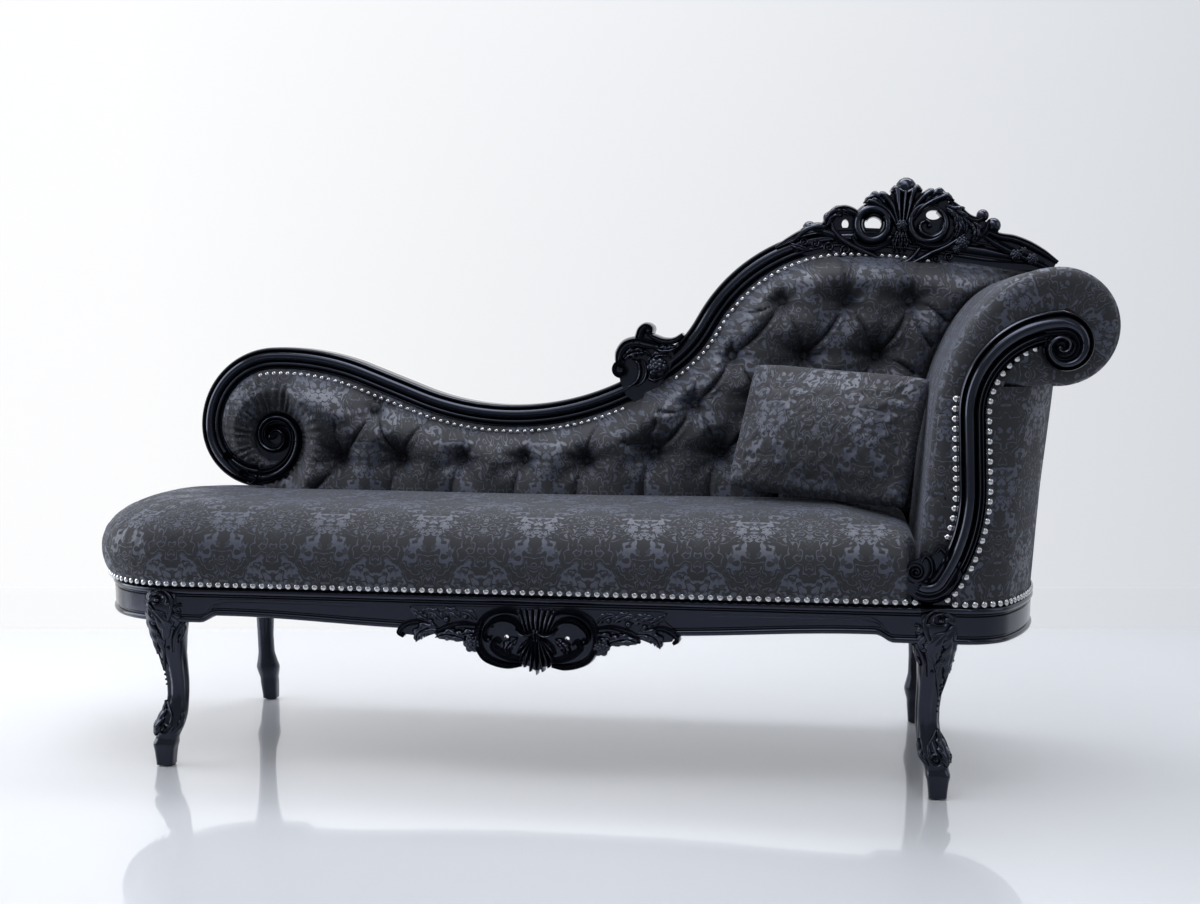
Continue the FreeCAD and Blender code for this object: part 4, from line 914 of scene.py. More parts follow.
def make_legs():
    for end, leg_x, lean in (("foot", FOOT_LEG_X, -1), ("head", HEAD_LEG_X, 1)):
        carved = Carving(leg_lay(FRONT_STATIONS, leg_x, lean, -1))
        fluted = leg_lay(FRONT_STATIONS, leg_x, lean, -1, 0.13)
        carved.parts.append(leg_body(FRONT_STATIONS, fluted))
        # Knee: scrolls under the rail, a hanging leaf with side leaves, and beads below
        for hand in (-1, 1):
            carved.hand = hand
            under_rail = curl((hand * 15, 305), 13, 200 if hand > 0 else -20, -1.35 * hand,
                              0.25)
            carved.stroke(under_rail, "8 7 6 5", "6 5 6 7", FLUTED, base=3)
            carved.knob("14 305", 4, rise=8)
            carved.stroke("2 316, 20 322, 31 308, 30 284, 24 258, 18 228, 9 196, 2 172",
                          "3 6 7 6 6 5 4 2", "3 5 6 5 4 3 2", ROUND, base=2)
            carved.leaves(2, (
                ("5 288, 17 272, 24 250, 19 230", 22, 3, 6, 4),
                ("3 250, 11 232, 14 212", 15, 3, 5, 3),
                ("34 300, 40 276, 36 250", 16, 3, 4, 2)))
        carved.leaves(2, (
            ("0 300, 0 270, 0 236, 0 204", 26, 5, 8, 3),
            ("0 296, 0 310, 0 322", 20, 2, 7, 2)))
        for index in range(6):
            carved.knob((0, 192 - index * 9), 3.3 - 0.3 * index, rise=3.2)
        # Ears of the knee: heavy C-scrolls that lap over the rail, and curls between
        for hand in (-1, 1):
            carved.hand = hand
            carved.stroke("26 322, 44 318, 55 300, 54 276, 42 258, 34 236, 30 208",
                          "7 10 11 11 9 7 4", "5 8 9 9 7 5 3", FLUTED, base=4)
            carved.stroke(curl((hand * 41, 290), 12, 90, -1.3 * hand, 0.3), "8 7 6", "6 7 8",
                          FLUTED, base=3)
            carved.leaf("30 280, 42 266, 48 246, 40 226", 20, lobes=4, rise=6, lift=2, base=3)
            for spot, size in (("8 262", 4), ("27 298", 4), ("33 254", 4), ("22 216", 3.4),
                               ("12 234", 3.4), ("9 276", 3.6)):
                carved.knob(spot, size, rise=7)
        # Foot: a leaf rising from the ring with a small scroll each side
        for hand in (-1, 1):
            carved.hand = hand
            carved.stroke(curl((hand * 17, 70), 11, 90, -1.2 * hand, 0.25), "7 6 5", "5 5 6",
                          FLUTED, base=3)
            carved.knob("17 70", 3.4, rise=6)
            carved.stroke("27 74, 24 92, 14 104, 4 116", "7 6 5 2", "5 5 4 2", ROUND, base=3)
            carved.leaf("34 58, 46 76, 44 100", 18, lobes=3, rise=4, lift=2, base=3)
        carved.leaf("0 56, 0 78, 0 98, 0 118", 24, lobes=4, rise=7, lift=2, base=3)
        carved.parts.append(block_part((leg_x - 29, -LEG_SIDE_Y - 12, RAIL_UNDER + 6),
                                       (leg_x + 29, -LEG_SIDE_Y + 30, TACK_TOP)))
        carved.make("front_%s_leg_carved" % end, "front_%s_leg" % end)
        plain = Carving(leg_lay(REAR_STATIONS, leg_x, lean, 1))
        plain.parts.append(leg_body(REAR_STATIONS, plain.lay))
        plain.leaf("0 62, 0 78, 0 94", 22, lobes=3, rise=4, lift=2, base=3)
        plain.parts.append(block_part((leg_x - 29.5, LEG_SIDE_Y - 30, RAIL_UNDER),
                                      (leg_x + 29.5, LEG_SIDE_Y + 12, TACK_TOP)))
        plain.make("rear_%s_leg_carved" % end, "rear_%s_leg" % end)


class CHAISE_OT_legs(bpy.types.Operator):
    """Cabriole front legs carved with leaves and scrolls, and plainer splayed rear legs"""
    bl_idname = "chaise.legs"
    bl_label = "Legs"

    def execute(self, context):
        make_legs()
        return {"FINISHED"}


def show_section(outer):
    """Show-wood in section: bead, broad torus, second torus and a bead by the nails."""
    pairs = [(25, BACK_REAR), (25, 223)]
    pairs += bead(25, 17.5, 222, 214, 5)
    pairs += [(16.8, 221)]
    pairs += bead(16, -2.5, 219, BACK_FRONT, 10)
    pairs += [(-3.2, 220)]
    pairs += bead(-4, -12.5, 219, 212.5, 6)
    pairs += [(-13.2, 222)]
    pairs += bead(-14, -19.5, 221, 217, 4)
    pairs += [(-20, 229), (-25, 229), (-25, BACK_REAR)]
    return [(outer * side, deep) for side, deep in pairs]


SCROLL_HUB = np.array([-672.0, 558.0])
VOLUTE_TURNS = [(78, 90), (40, 90), (34, 90), (28, 90), (21, 90), (15, 90), (10, 120)]


def volute_track():
    return track(low_track()[0][-1], 0, VOLUTE_TURNS, 3.0)


def make_show_wood():
    lacquered("back_rail_low_moulded", [sweep(low_track(), show_section(-1))],
              "back_rail_low", sharp=50)
    path = high_track()
    end = np.interp(path[2], [0, path[2][-1] - 110, path[2][-1]], [1, 1, 0.25])
    lacquered("back_rail_high_moulded", [sweep(path, show_section(1), scale=end)],
              "back_rail_high", sharp=50)
    spiral = volute_track()
    share = spiral[2] / spiral[2][-1]
    ridge = [(21, 252), (21, 221)] + bead(21, 14, 219, 208, 6) + [(13.2, 218)]
    ridge += bead(12.6, -2, 216, 205, 8) + [(-2.8, 219)] + bead(-3.4, -9.6, 216, 209, 5)
    ridge += [(-10.2, 219)] + bead(-10.8, -17, 219, 211, 5) + [(-17, 252)]
    ridge = [(-side, deep) for side, deep in ridge]
    carved = Carving(lambda u, v, w: to_front(u, v, 222 - w))
    carved.parts.append(sweep(spiral, ridge, scale=1.06 - 0.70 * share ** 0.75))
    carved.parts.append(disc(SCROLL_HUB, 50, 72, 223, 249))
    carved.knob(spiral[0][-1] + np.array([-4.0, 4.0]), 8, rise=15)
    # Plate that folds over the spiral's second turn, with its beak
    carved.stroke("-698 556, -692 578, -672 588, -650 584, -636 571, -629 556", "5 11 15 15 12 5",
                  "12 16 18 18 17 13", KEELED, 3)
    carved.stroke("-655 549, -641 551, -628 552, -622 547", "3 5 6 3", "14 18 18 13", ROUND, 3)
    # Strap that wraps the lower left of the curl, its curled tip, the clasp and the right leaf
    carved.strokes(FLUTED, 26, (
        ("-786 523, -772 505, -757 492, -740 481, -722 473, -712 470", "9 15 18 18 16 8",
         "12 16 18 18 17 12"),
        (curl((-779, 520), 9, -60, 1.2, 0.3), "7 6 5", "15 17 18"),
        (curl((-742, 482), 10, 200, -1.3, 0.3), "7 6 5", "17 19 20")))
    carved.stroke("-737 468, -727 464, -717 471, -713 482", "5 8 8 5", "15 19 19 15", ROUND, 26)
    carved.strokes(FLUTED, 26, (
        ("-708 494, -710 478, -713 462", "10 12 12", "17 21 19"),
        ("-700 480, -684 477, -664 480, -645 482, -630 490", "7 11 11 9 4", "14 18 18 16 10")))
    carved.make("foot_volute_carved", "foot_volute")


class CHAISE_OT_show_wood(bpy.types.Operator):
    """Moulded show-wood along the back's edge and the scroll at the foot"""
    bl_idname = "chaise.show_wood"
    bl_label = "Show-wood"

    def execute(self, context):
        make_show_wood()
        return {"FINISHED"}


# Carved ornaments

def make_crest():
    c = Carving(lambda u, v, w: to_front(u, v, 213 - w))
    deep = 34
    # Ground that the ornament is cut from, with its four piercings
    ground = numbers("352 944, 396 962, 404 984, 416 982, 436 980, 450 998, 464 1006, "
                     "486 1008, 504 1008, 520 1018, 548 1028, 570 1044, 616 1044, 640 1034, "
                     "672 1026, 690 1008, 714 988, 738 990, 760 978, 776 956, 812 946, "
                     "846 928, 876 908, 870 892, 800 894, 700 902, 640 904, 574 902, 540 910, "
                     "480 916, 412 922")
    c.plate([ground, oval((532, 984), 16, 14), oval((479, 984), 6.5, 9),
             oval((646, 1000), 14, 9), oval((733, 938), 12, 4.5)], -4, -31)
    # Tail along the rail on the left, its bud and the hump of the shoulder
    c.stroke("346 940, 372 954, 398 966, 424 972, 450 968, 474 952, 500 938", "6 13 18 20 18 14 8",
             "4 8 11 12 11 9 5", FLUTED, deep)
    c.knob((411, 977), 14, rise=15, lift=-8)
    c.stroke("374 948, 390 962, 406 974, 424 980, 444 980", "8 13 16 16 12", "7 11 12 12 9", ROUND,
             deep)
    c.stroke("396 972, 412 978, 430 976, 444 986, 458 1006, 478 1012, 497 1006, 508 994",
             "8 12 14 17 19 18 15 8", "7 10 12 14 15 15 13 8", FLUTED, deep)
    c.leaf("440 978, 452 1000, 474 1008, 494 998", 26, lobes=3, rise=15, lift=3, base=deep - 8)
    # S-bands that cross under the rings and meet below the drop
    c.strokes(ROUND, deep, (
        ("452 988, 458 972, 472 956, 490 944, 512 933, 536 922, 556 911, 578 907, 600 913, "
         "616 930, 624 944", "9 12 13 13 13 13 14 14 13 11 6", "9 12 13 14 14 15 16 16 15 12 8"),
        ("704 962, 688 950, 668 938, 644 928, 622 916, 604 908, 580 905", "8 12 13 13 12 10 5",
         "9 13 14 15 15 13 8")))
    c.strokes(FLUTED, deep, (
        ("492 962, 502 946, 522 938, 546 940, 566 952, 576 968", "8 12 14 13 11 6",
         "9 12 14 15 13 8"),
        ("684 964, 674 948, 652 940, 628 942, 608 952, 598 968", "8 12 14 13 11 6",
         "9 12 14 15 13 8")))
    # Rings: a heavy C-scroll on the left, a spiral on the right
    c.stroke(curl((532, 983), 31, 20, 1.04, 0.92, 30), "20 22 22 22 18", "16 19 20 19 15", ROUND,
             deep)
    c.stroke(curl((534, 985), 17, 160, -0.42, 0.9, 14), "7 9 9 4", "9 11 11 7", ROUND, deep - 4)
    c.strokes(ROUND, deep, (
        (curl((637, 984), 37, 62, 0.98, 0.86, 34), "9 15 18 20 19 16 12", "12 17 20 20 19 17 13"),
        ("666 984, 660 966, 642 958, 624 966, 620 980, 630 988, 640 982", "12 14 15 14 12 10 7",
         "15 19 20 20 19 18 16")))
    c.knob((638, 979), 6, rise=17, lift=-1)
    # Palmette: fluted rays that fan from the star to the collar under the bud
    for tip, wide in (((519, 1024), 17), ((541, 1036), 17), ((566, 1047), 17),
                      ((621, 1048), 17), ((648, 1040), 18), ((676, 1032), 18)):
        bend = 1 if tip[0] > 593 else -1
        mid = (588 + 0.40 * (tip[0] - 588), 976 + 0.66 * (tip[1] - 976))
        c.stroke([(588 + bend * 3, 964), mid, (tip[0] - bend * 9, tip[1] + 3), tip],
                 [8, wide - 3, wide - 2, 7], "9 18 18 11", ROUND, deep - 8)
    for x in (-9, 0, 9):
        c.stroke([(588 + 0.3 * x, 968), (590 + x, 1010), (593 + 1.5 * x, 1046)], "6 11 13",
                 "11 19 17", ROUND, deep - 8)
    c.leaves(20, (
        ("556 1018, 536 1034, 513 1024", 24, 3, 15, 5),
        ("628 1020, 654 1038, 684 1027", 26, 3, 15, 5)))
    c.knob((594, 1053), 20, rise=18, lift=-14)
    c.stroke("564 1044, 578 1048, 593 1042, 609 1048, 624 1046", "7 11 11 11 7", "11 14 16 14 11",
             ROUND, deep - 8)
    # Star and drop under the palmette
    c.rose((586, 981), 10, lift=14)
    for side in (-11, 0, 11):
        c.leaf([(585 + 0.4 * side, 972), (584 + side, 948), (582 + 0.8 * side, 926)], 15, lobes=3,
               rise=17, lift=3, base=14)
    # Right shoulder: leaves, two buds and the strap with its flowers
    c.leaf("668 1016, 688 1004, 704 984, 706 962", 34, lobes=5, rise=17, lift=3, base=deep - 8)
    c.stroke("676 1026, 694 1010, 712 994, 730 990, 742 1000", "9 14 15 13 8", "9 14 15 13 9",
             FLUTED, deep)
    c.leaves(deep - 8, (
        ("676 1012, 690 992, 692 970, 684 952", 24, 4, 16, 3),
        ("712 990, 724 976, 726 958, 716 944", 26, 4, 15, 3)))
    c.stroke("712 950, 730 956, 742 968, 748 984", "8 12 13 8", "10 14 14 9", FLUTED, deep)
    c.knob((738, 998), 12, rise=13, lift=-5)
    c.knob((758, 979), 15, rise=15, lift=-7)
    c.strokes(FLUTED, deep, (
        ("750 966, 770 958, 796 953, 824 942, 852 926, 878 908", "10 15 16 16 14 8",
         "10 13 13 12 10 6"),
        ("742 958, 768 942, 796 928, 826 914, 860 898", "10 16 18 17 10", "9 13 13 12 7")))
    for spot, size in (((700, 946), 13), ((800, 923), 11), ((830, 915), 11), ((814, 930), 8),
                       ((690, 934), 8)):
        c.rose(spot, size, lift=7)
    # Small curls and beads on the front of the rail
    for x, z, size in ((402, 950, 8), (424, 947, 8), (449, 940, 10), (481, 934, 10),
                       (652, 916, 8), (676, 920, 8)):
        c.stroke(curl((x, z), size, 200, -1.1, 0.35), "6 6 5", "8 9 9", ROUND, 6)
        c.knob((x, z), 3.0, rise=9)
    c.leaves(6, (
        ("372 946, 394 940, 416 932", 15, 4, 8, 0),
        ("452 930, 474 924, 500 918", 14, 4, 8, 0)))
    c.make("crest_carved", "crest")


class CHAISE_OT_crest(bpy.types.Operator):
    """Pierced cresting: C-scroll rings, a palmette under a bud, side leaves and flowers"""
    bl_idname = "chaise.crest"
    bl_label = "Crest"

    def execute(self, context):
        make_crest()
        return {"FINISHED"}


def make_apron():
    mid, deep = -38, 9
    c = Carving(lambda u, v, w: to_front(u, v, -RAIL_FACE - w), mid)
    half = numbers("0 197, 13 206, 30 210, 50 212, 72 216, 88 228, 98 244, 104 236, 118 236, "
                   "130 246, 146 247, 170 249, 180 258, 196 252, 212 254, 232 256, 240 268, "
                   "232 280, 220 290, 220 306, 0 308")
    ground = [(mid - x, z) for x, z in half] + [(mid + x, z) for x, z in half[-2:0:-1]]
    holes = [oval((mid + hand * x, z), wide, high, 12) for hand in (-1, 1) for x, z, wide, high
             in ((79, 275, 5, 3.5), (53, 256, 4, 4), (56, 228, 3.5, 3), (128, 268, 13, 3.2),
                 (214, 262, 4, 5))]
    c.plate([ground] + holes, 4, -deep)
    for hand in (-1, 1):
        c.hand = hand
        # Rim of the C-scroll, its inner turn and the leaf that curls within it
        c.strokes(FLUTED, deep, (
            ("16 290, 33 300, 54 303, 76 299, 94 286, 103 264, 101 240, 90 221, 70 211, 48 207, "
             "26 209", "7 10 11 12 13 14 14 14 13 12 8", "12 16 17 18 18 18 18 18 17 16 10"),
            ("26 268, 38 284, 56 289, 74 284, 88 270, 90 256, 84 250, 79 257",
             "8 11 12 12 11 9 7 5", "15 19 20 19 18 17 17 15"),
            ("24 218, 42 220, 62 228, 76 240, 70 252, 62 246", "8 13 15 13 10 6",
             "13 17 18 17 16 13")))
        c.leaf("32 256, 46 246, 52 234, 46 222", 22, lobes=4, rise=15, lift=3, base=4)
        c.knob("83 253", 5, rise=17)
        # Shell ribs and the fluted palmette above them
        for x, z, wide in ((11, 199, 11), (21, 206, 11), (29, 216, 11), (33, 229, 10)):
            c.stroke([(mid + hand * 3, 262), (mid + hand * (x * 0.74), 0.4 * 262 + 0.6 * z),
                      (mid + hand * x, z)], [7, wide, 6], "15 23 14", ROUND, deep)
        for x, wide in ((11, 12), (22, 12), (32, 11)):
            c.stroke([(mid + hand * (x * 0.5), 262), (mid + hand * (x * 0.72), 284),
                      (mid + hand * x, 305)], [7, wide, wide], "16 20 12", ROUND, deep)
        c.stroke("1 268, 14 262, 27 264, 36 272", "7 9 9 5", "22 24 21 14", ROUND, deep)
        # Garland: flower, bud and leaves to a hooked tip, over low leaves on the rail
        c.rose("112 244", 15, lift=6)
        c.leaves(deep, (
            ("102 256, 112 262, 126 260, 136 250", 20, 3, 14, 3),
            ("122 250, 142 257, 162 258, 178 252", 26, 3, 15, 2),
            ("172 268, 192 268, 208 258, 212 244", 30, 4, 14, 3)))
        c.strokes(FLUTED, deep, (
            ("196 276, 214 278, 232 272, 242 260, 234 252", "8 12 13 11 6", "9 13 14 13 9"),
            ("106 276, 130 278, 156 272, 178 262", "7 10 11 7", "9 12 12 8")))
        for spots, width in (("104 284, 118 296, 138 300", 18),
                             ("132 288, 150 298, 172 298", 20),
                             ("164 284, 182 296, 204 298", 20),
                             ("190 284, 208 292, 224 304", 16)):
            c.leaf(spots, width, lobes=4, rise=9, lift=1, base=deep)
        for spot, size in (("124 290", 6), ("158 284", 7), ("186 280", 6), ("146 266", 5)):
            c.knob(spot, size, rise=12)
    c.stroke("0 264, 0 238, 0 193", "8 14 4", "18 25 13", KEELED, deep)
    c.stroke("0 262, 0 286, 0 307", "8 13 12", "17 21 12", ROUND, deep)
    c.leaf("0 276, 0 262, 0 246", 20, lobes=3, rise=24, lift=3, base=deep)
    c.make("apron_carved", "apron")


class CHAISE_OT_apron(bpy.types.Operator):
    """Carved apron: a fluted shell between two C-scrolls, with garlands either side"""
    bl_idname = "chaise.apron"
    bl_label = "Apron carving"

    def execute(self, context):
        make_apron()
        return {"FINISHED"}


def make_junction_leaves():
    c = Carving(lambda u, v, w: to_front(u, v, 212 - w))
    deep = 36
    c.plate([numbers("36 706, 44 738, 58 754, 80 764, 92 780, 104 770, 124 760, 146 756, "
                     "148 728, 140 700, 114 660, 98 640, 74 636, 54 650, 42 678")], 2, -30)
    # Ball of the lower curl, and the body that rises from it to a hooked tip
    c.knob((42, 701), 15, rise=15, lift=-2)
    c.strokes(FLUTED, deep, (
        (curl((44, 701), 17, 60, 1.2, 0.4), "11 10 9", "12 15 17"),
        ("38 712, 42 734, 54 750, 74 756, 96 752, 122 746", "14 22 24 24 22 14",
         "10 16 19 20 18 12"),
        ("74 752, 80 766, 84 780, 94 788, 104 784, 104 774", "20 20 18 15 12 8",
         "14 17 18 18 17 13")))
    c.knob((98, 780), 10, rise=15)
    c.stroke("98 772, 112 764, 130 758, 150 760, 166 772", "10 14 15 13 7", "11 14 14 12 8",
             FLUTED, deep)
    c.leaves(20, (
        ("48 722, 62 734, 84 738, 106 730", 26, 4, 18, 3),
        ("104 748, 126 742, 146 744, 164 756", 20, 4, 14, 2)))
    # Ridges of the low rail that turn up into the leaf, and the flower they hold
    for aside, wide in ((0, 11), (13, 9)):
        c.stroke(numbers("60 668, 76 680, 82 698, 77 716, 66 722") + (aside, 0),
                 [5, wide, wide, wide, 5], "8 13 15 15 9", ROUND, deep)
    c.rose((116, 706), 20, lift=5)
    c.leaves(20, (
        ("96 690, 108 684, 126 690, 140 706", 18, 4, 13, 2),
        ("98 716, 112 730, 132 732, 146 724", 18, 4, 13, 2)))
    c.knob((131, 716), 6, rise=15)
    c.make("back_acanthus_carved", "back_acanthus")


class CHAISE_OT_junction_leaves(bpy.types.Operator):
    """Acanthus leaf where the two back rails meet"""
    bl_idname = "chaise.junction_leaves"
    bl_label = "Back acanthus"

    def execute(self, context):
        make_junction_leaves()
        return {"FINISHED"}


FACING_SCROLL = [(30, -90), (27, -90), (22, -90), (16, -90), (11, -90), (8, -90), (6, -60)]


def make_head_facing():
    places, heads, lengths = track(FACING_START, FACING_HEADING,
                                   FACING_STEPS + FACING_SCROLL, 4.0)
    plain = facing_track()[2][-1]
    share = np.clip((lengths - plain) / (lengths[-1] - plain), 0, 1)
    swell_up = 1.1 + 0.22 * np.clip((lengths - 330) / (plain - 330), 0, 1) ** 1.3
    section = [(21, -251.5), (21, -266)]
    section += bead(21, 14.6, -266, -279, 6) + [(14, -268)]
    section += bead(13.4, -4.6, -270, -285.4, 10) + [(-5.2, -269)]
    section += bead(-5.8, -11.6, -268, -281, 6) + [(-12.2, -268)]
    section += bead(-12.8, -17.2, -267, -277, 5) + [(-17.8, -266)]
    section += bead(-18.2, -21, -264, -270, 4) + [(-21, -251.5)]
    bar = sweep((places, heads, lengths), section, scale=swell_up * (1 - 0.70 * share ** 0.62))
    c = Carving(lambda u, v, w: to_front(u, v, -258 - w))
    c.parts.append(bar)
    hub = facing_track()[0][-1] + np.array([4, -21])
    c.parts.append(disc(hub, 33, 48, -251.5, -271))
    c.knob(places[-1], 8, rise=16, lift=8)
    # Leaf scroll at the foot: three lobes that sweep round into one tight curl
    c.plate([numbers("582 352, 584 372, 580 388, 588 402, 604 408, 612 416, 622 412, "
                     "636 430, 648 418, 660 414, 668 402, 668 380, 652 354, 626 340, "
                     "600 340")], 17, 0)
    c.strokes(FLUTED, 7, (
        ("604 402, 611 413, 620 405, 622 387, 613 371, 600 366", "6 11 14 15 13 8",
         "20 25 26 27 25 20"),
        ("626 415, 635 426, 645 415, 646 391, 634 368, 612 356, 594 360", "7 12 16 17 15 12 7",
         "18 24 25 25 24 23 18"),
        ("650 402, 658 412, 666 400, 665 376, 650 356, 626 344, 601 344, 584 358",
         "7 11 14 15 15 14 12 7", "14 20 21 22 22 21 20 15"),
        (curl((596, 386), 15, 265, -1.5, 0.3, 34), "13 12 11 9 7", "20 24 26 27 26")))
    c.knob((596, 386), 5, rise=27)
    c.make("head_facing_moulded", "head_facing")


class CHAISE_OT_head_facing(bpy.types.Operator):
    """Moulded facing of the head end with its upper volute and the leaf at its foot"""
    bl_idname = "chaise.head_facing"
    bl_label = "Head facing"

    def execute(self, context):
        make_head_facing()
        return {"FINISHED"}


# Upholstery

def buttons():
    """Places of the deep buttons, in the front view."""
    return [np.array([first + i * pitch, height], float)
            for height, first, pitch, count in TUFT_ROWS for i in range(count)]


def back_edges(spots):
    """How far each place lies inside the show-wood, the head end and the foot volute."""
    low_path, high_path = low_track(), high_track()
    side, run = nearest(low_path, spots)
    low = side - 25
    past = run > low_path[2][-1] - 2
    low = np.where(past, np.where((spots[:, 0] < -708) & (spots[:, 1] < 480), -99, 999), low)
    low = np.where(spots[:, 0] < 88, low, 999)
    high = np.where(spots[:, 0] > 60, -nearest(high_path, spots)[0] - 24.5, 999)
    head = np.where(spots[:, 0] > 560, nearest(head_track(3), spots)[0], 999)
    spiral = volute_track()[0]
    near = spots[:, 0] < -520
    scroll = np.full(len(spots), 999.0)
    gaps = np.linalg.norm(spots[near][:, None] - spiral[None, ::2], axis=2).min(1) - 17
    hub = np.linalg.norm(spots[near] - SCROLL_HUB, axis=1) - 57
    scroll[near] = np.minimum(gaps, hub)
    return np.minimum(low, high), head, scroll


def sheet_between(step, box_range, inside, front, rear):
    """A closed slab over the grid cells that lie inside; front and rear give its depths."""
    xs = np.arange(box_range[0], box_range[1] + step, step)
    zs = np.arange(box_range[2], box_range[3] + step, step)
    grid_x, grid_z = np.meshgrid(xs, zs)
    spots = np.stack([grid_x.ravel(), grid_z.ravel()], 1)
    keep = inside(spots).reshape(grid_x.shape)
    cells = keep[:-1, :-1] & keep[1:, :-1] & keep[:-1, 1:] & keep[1:, 1:]
    used = np.zeros(keep.shape, bool)
    for i, j in ((0, 0), (1, 0), (0, 1), (1, 1)):
        used[i:cells.shape[0] + i, j:cells.shape[1] + j] |= cells
    number = -np.ones(keep.shape, int)
    number[used] = np.arange(used.sum())
    places = np.stack([grid_x[used], grid_z[used]], 1)
    count = len(places)
    verts = np.concatenate([to_front(places[:, 0], places[:, 1], front(places)),
                            to_front(places[:, 0], places[:, 1], rear(places))])
    # The hidden side is joined up in blocks of eight cells
    faces, edges, done = [], {}, np.zeros(cells.shape, bool)
    for i in range(0, cells.shape[0] - 8, 8):
        for j in range(0, cells.shape[1] - 8, 8):
            if cells[i:i + 8, j:j + 8].all():
                done[i:i + 8, j:j + 8] = True
                ring = np.concatenate([number[i, j:j + 8], number[i:i + 8, j + 8],
                                       number[i + 8, j + 8:j:-1], number[i + 8:i:-1, j]])
                faces.append(tuple((ring[::-1] + count).tolist()))
    for i, j in zip(*np.nonzero(cells)):
        (a, b), (e, c) = number[i:i + 2, j:j + 2].tolist()
        faces.append((a, b, c, e))
        if not done[i, j]:
            faces.append((e + count, c + count, b + count, a + count))
        for first, last in ((a, b), (b, c), (c, e), (e, a)):
            if (last, first) in edges:
                del edges[(last, first)]
            else:
                edges[(first, last)] = True
    for first, last in edges:
        faces.append((last, first, first + count, last + count))
    return verts, faces


def fold(spots, first, last, depth, left, right, bow, waist=0.66, crisp=0.48):
    """A pleat pressed in along a bowed line: a soft slope each side and a crisp crease."""
    first, last = np.array(first, float), np.array(last, float)
    line = last - first
    length = np.linalg.norm(line)
    line = line / length
    gap = spots - first
    run = np.clip(gap @ line, 0, length)
    over = np.abs(gap @ line - run)
    side = gap[:, 0] * -line[1] + gap[:, 1] * line[0] - bow * np.sin(np.pi * run / length)
    width = np.where(side > 0, left, right)
    strength = waist + (1 - waist) * (2 * run / length - 1) ** 2
    slope = (1 - crisp) * np.exp(-np.abs(side) / width) + crisp * np.exp(-np.abs(side) / 3.0)
    lip = 0.16 * np.exp(-((side - 9) / 5) ** 2)
    return depth * strength * (slope - lip) * np.exp(-over / 9)


def pleats():
    """Pleats of the back: from, to, depth, widths left and right, and bow."""
    # The upper rows lap down to the left, and each lounge button opens upwards in a V
    rows = [(*row, 34, 22, 7, 9) for row in numbers(
        "481 836 402 731, 601 836 538 731, 361 836 266 731, 266 731 192 637, 402 731 326 637, "
        "538 731 460 637, 192 637 113 540, 326 637 243 540, 460 637 373 540")]
    rows += [(*row, 25, 20, 14, -6) for row in numbers(
        "402 731 361 836, 538 731 481 836, 326 637 266 731, 460 637 402 731, 243 540 192 637, "
        "373 540 326 637, 503 540 460 637")]
    rows += list(numbers(
        "481 836 470 928 26 10 14 -4, 486 840 502 930 20 14 8 5, 601 836 585 915 26 10 16 -4, "
        "604 838 624 912 18 14 8 4, 361 836 356 880 24 8 12 0, 361 836 270 815 26 12 22 10, "
        "266 731 272 790 20 14 8 3, 266 731 238 772 20 8 14 -4, 266 731 200 700 18 10 18 8, "
        "192 637 203 690 18 14 8 3, 192 637 128 622 18 10 16 8, 601 836 668 800 24 12 20 6, "
        "601 836 640 750 22 20 9 -6, 538 731 610 700 22 12 20 6, 460 637 560 610 20 12 20 6, "
        "113 540 120 600 20 14 8 4, 113 540 60 560 16 10 16 5, -454 623 -520 522 34 18 8 7, "
        "-395 522 -454 623 32 14 10 2, -454 623 -449 676 26 10 10 0, "
        "-454 623 -500 622 14 8 14 4, -520 522 -572 458 32 12 16 4, "
        "-520 522 -524 590 18 12 12 4"))
    for x in (-395, -270, -145, -20, 113, 243, 373, 503):
        z = 522 if x < 0 else 540
        rows.append((x, z, x - 17, z - 88, 30, 8, 24, -7))
    rows.append((-395 + 56, 522 + 84, -395, 522, 30, 22, 8, -5))
    for x in (-270, -145, -20):
        rows.append((x + 22, 522 + 72, x, 522, 30, 22, 8, -5))
        rows.append((x, 522, x - 38, 522 + 74, 20, 10, 18, 5))
    return [(row[:2], row[2:4], *row[4:]) for row in rows]


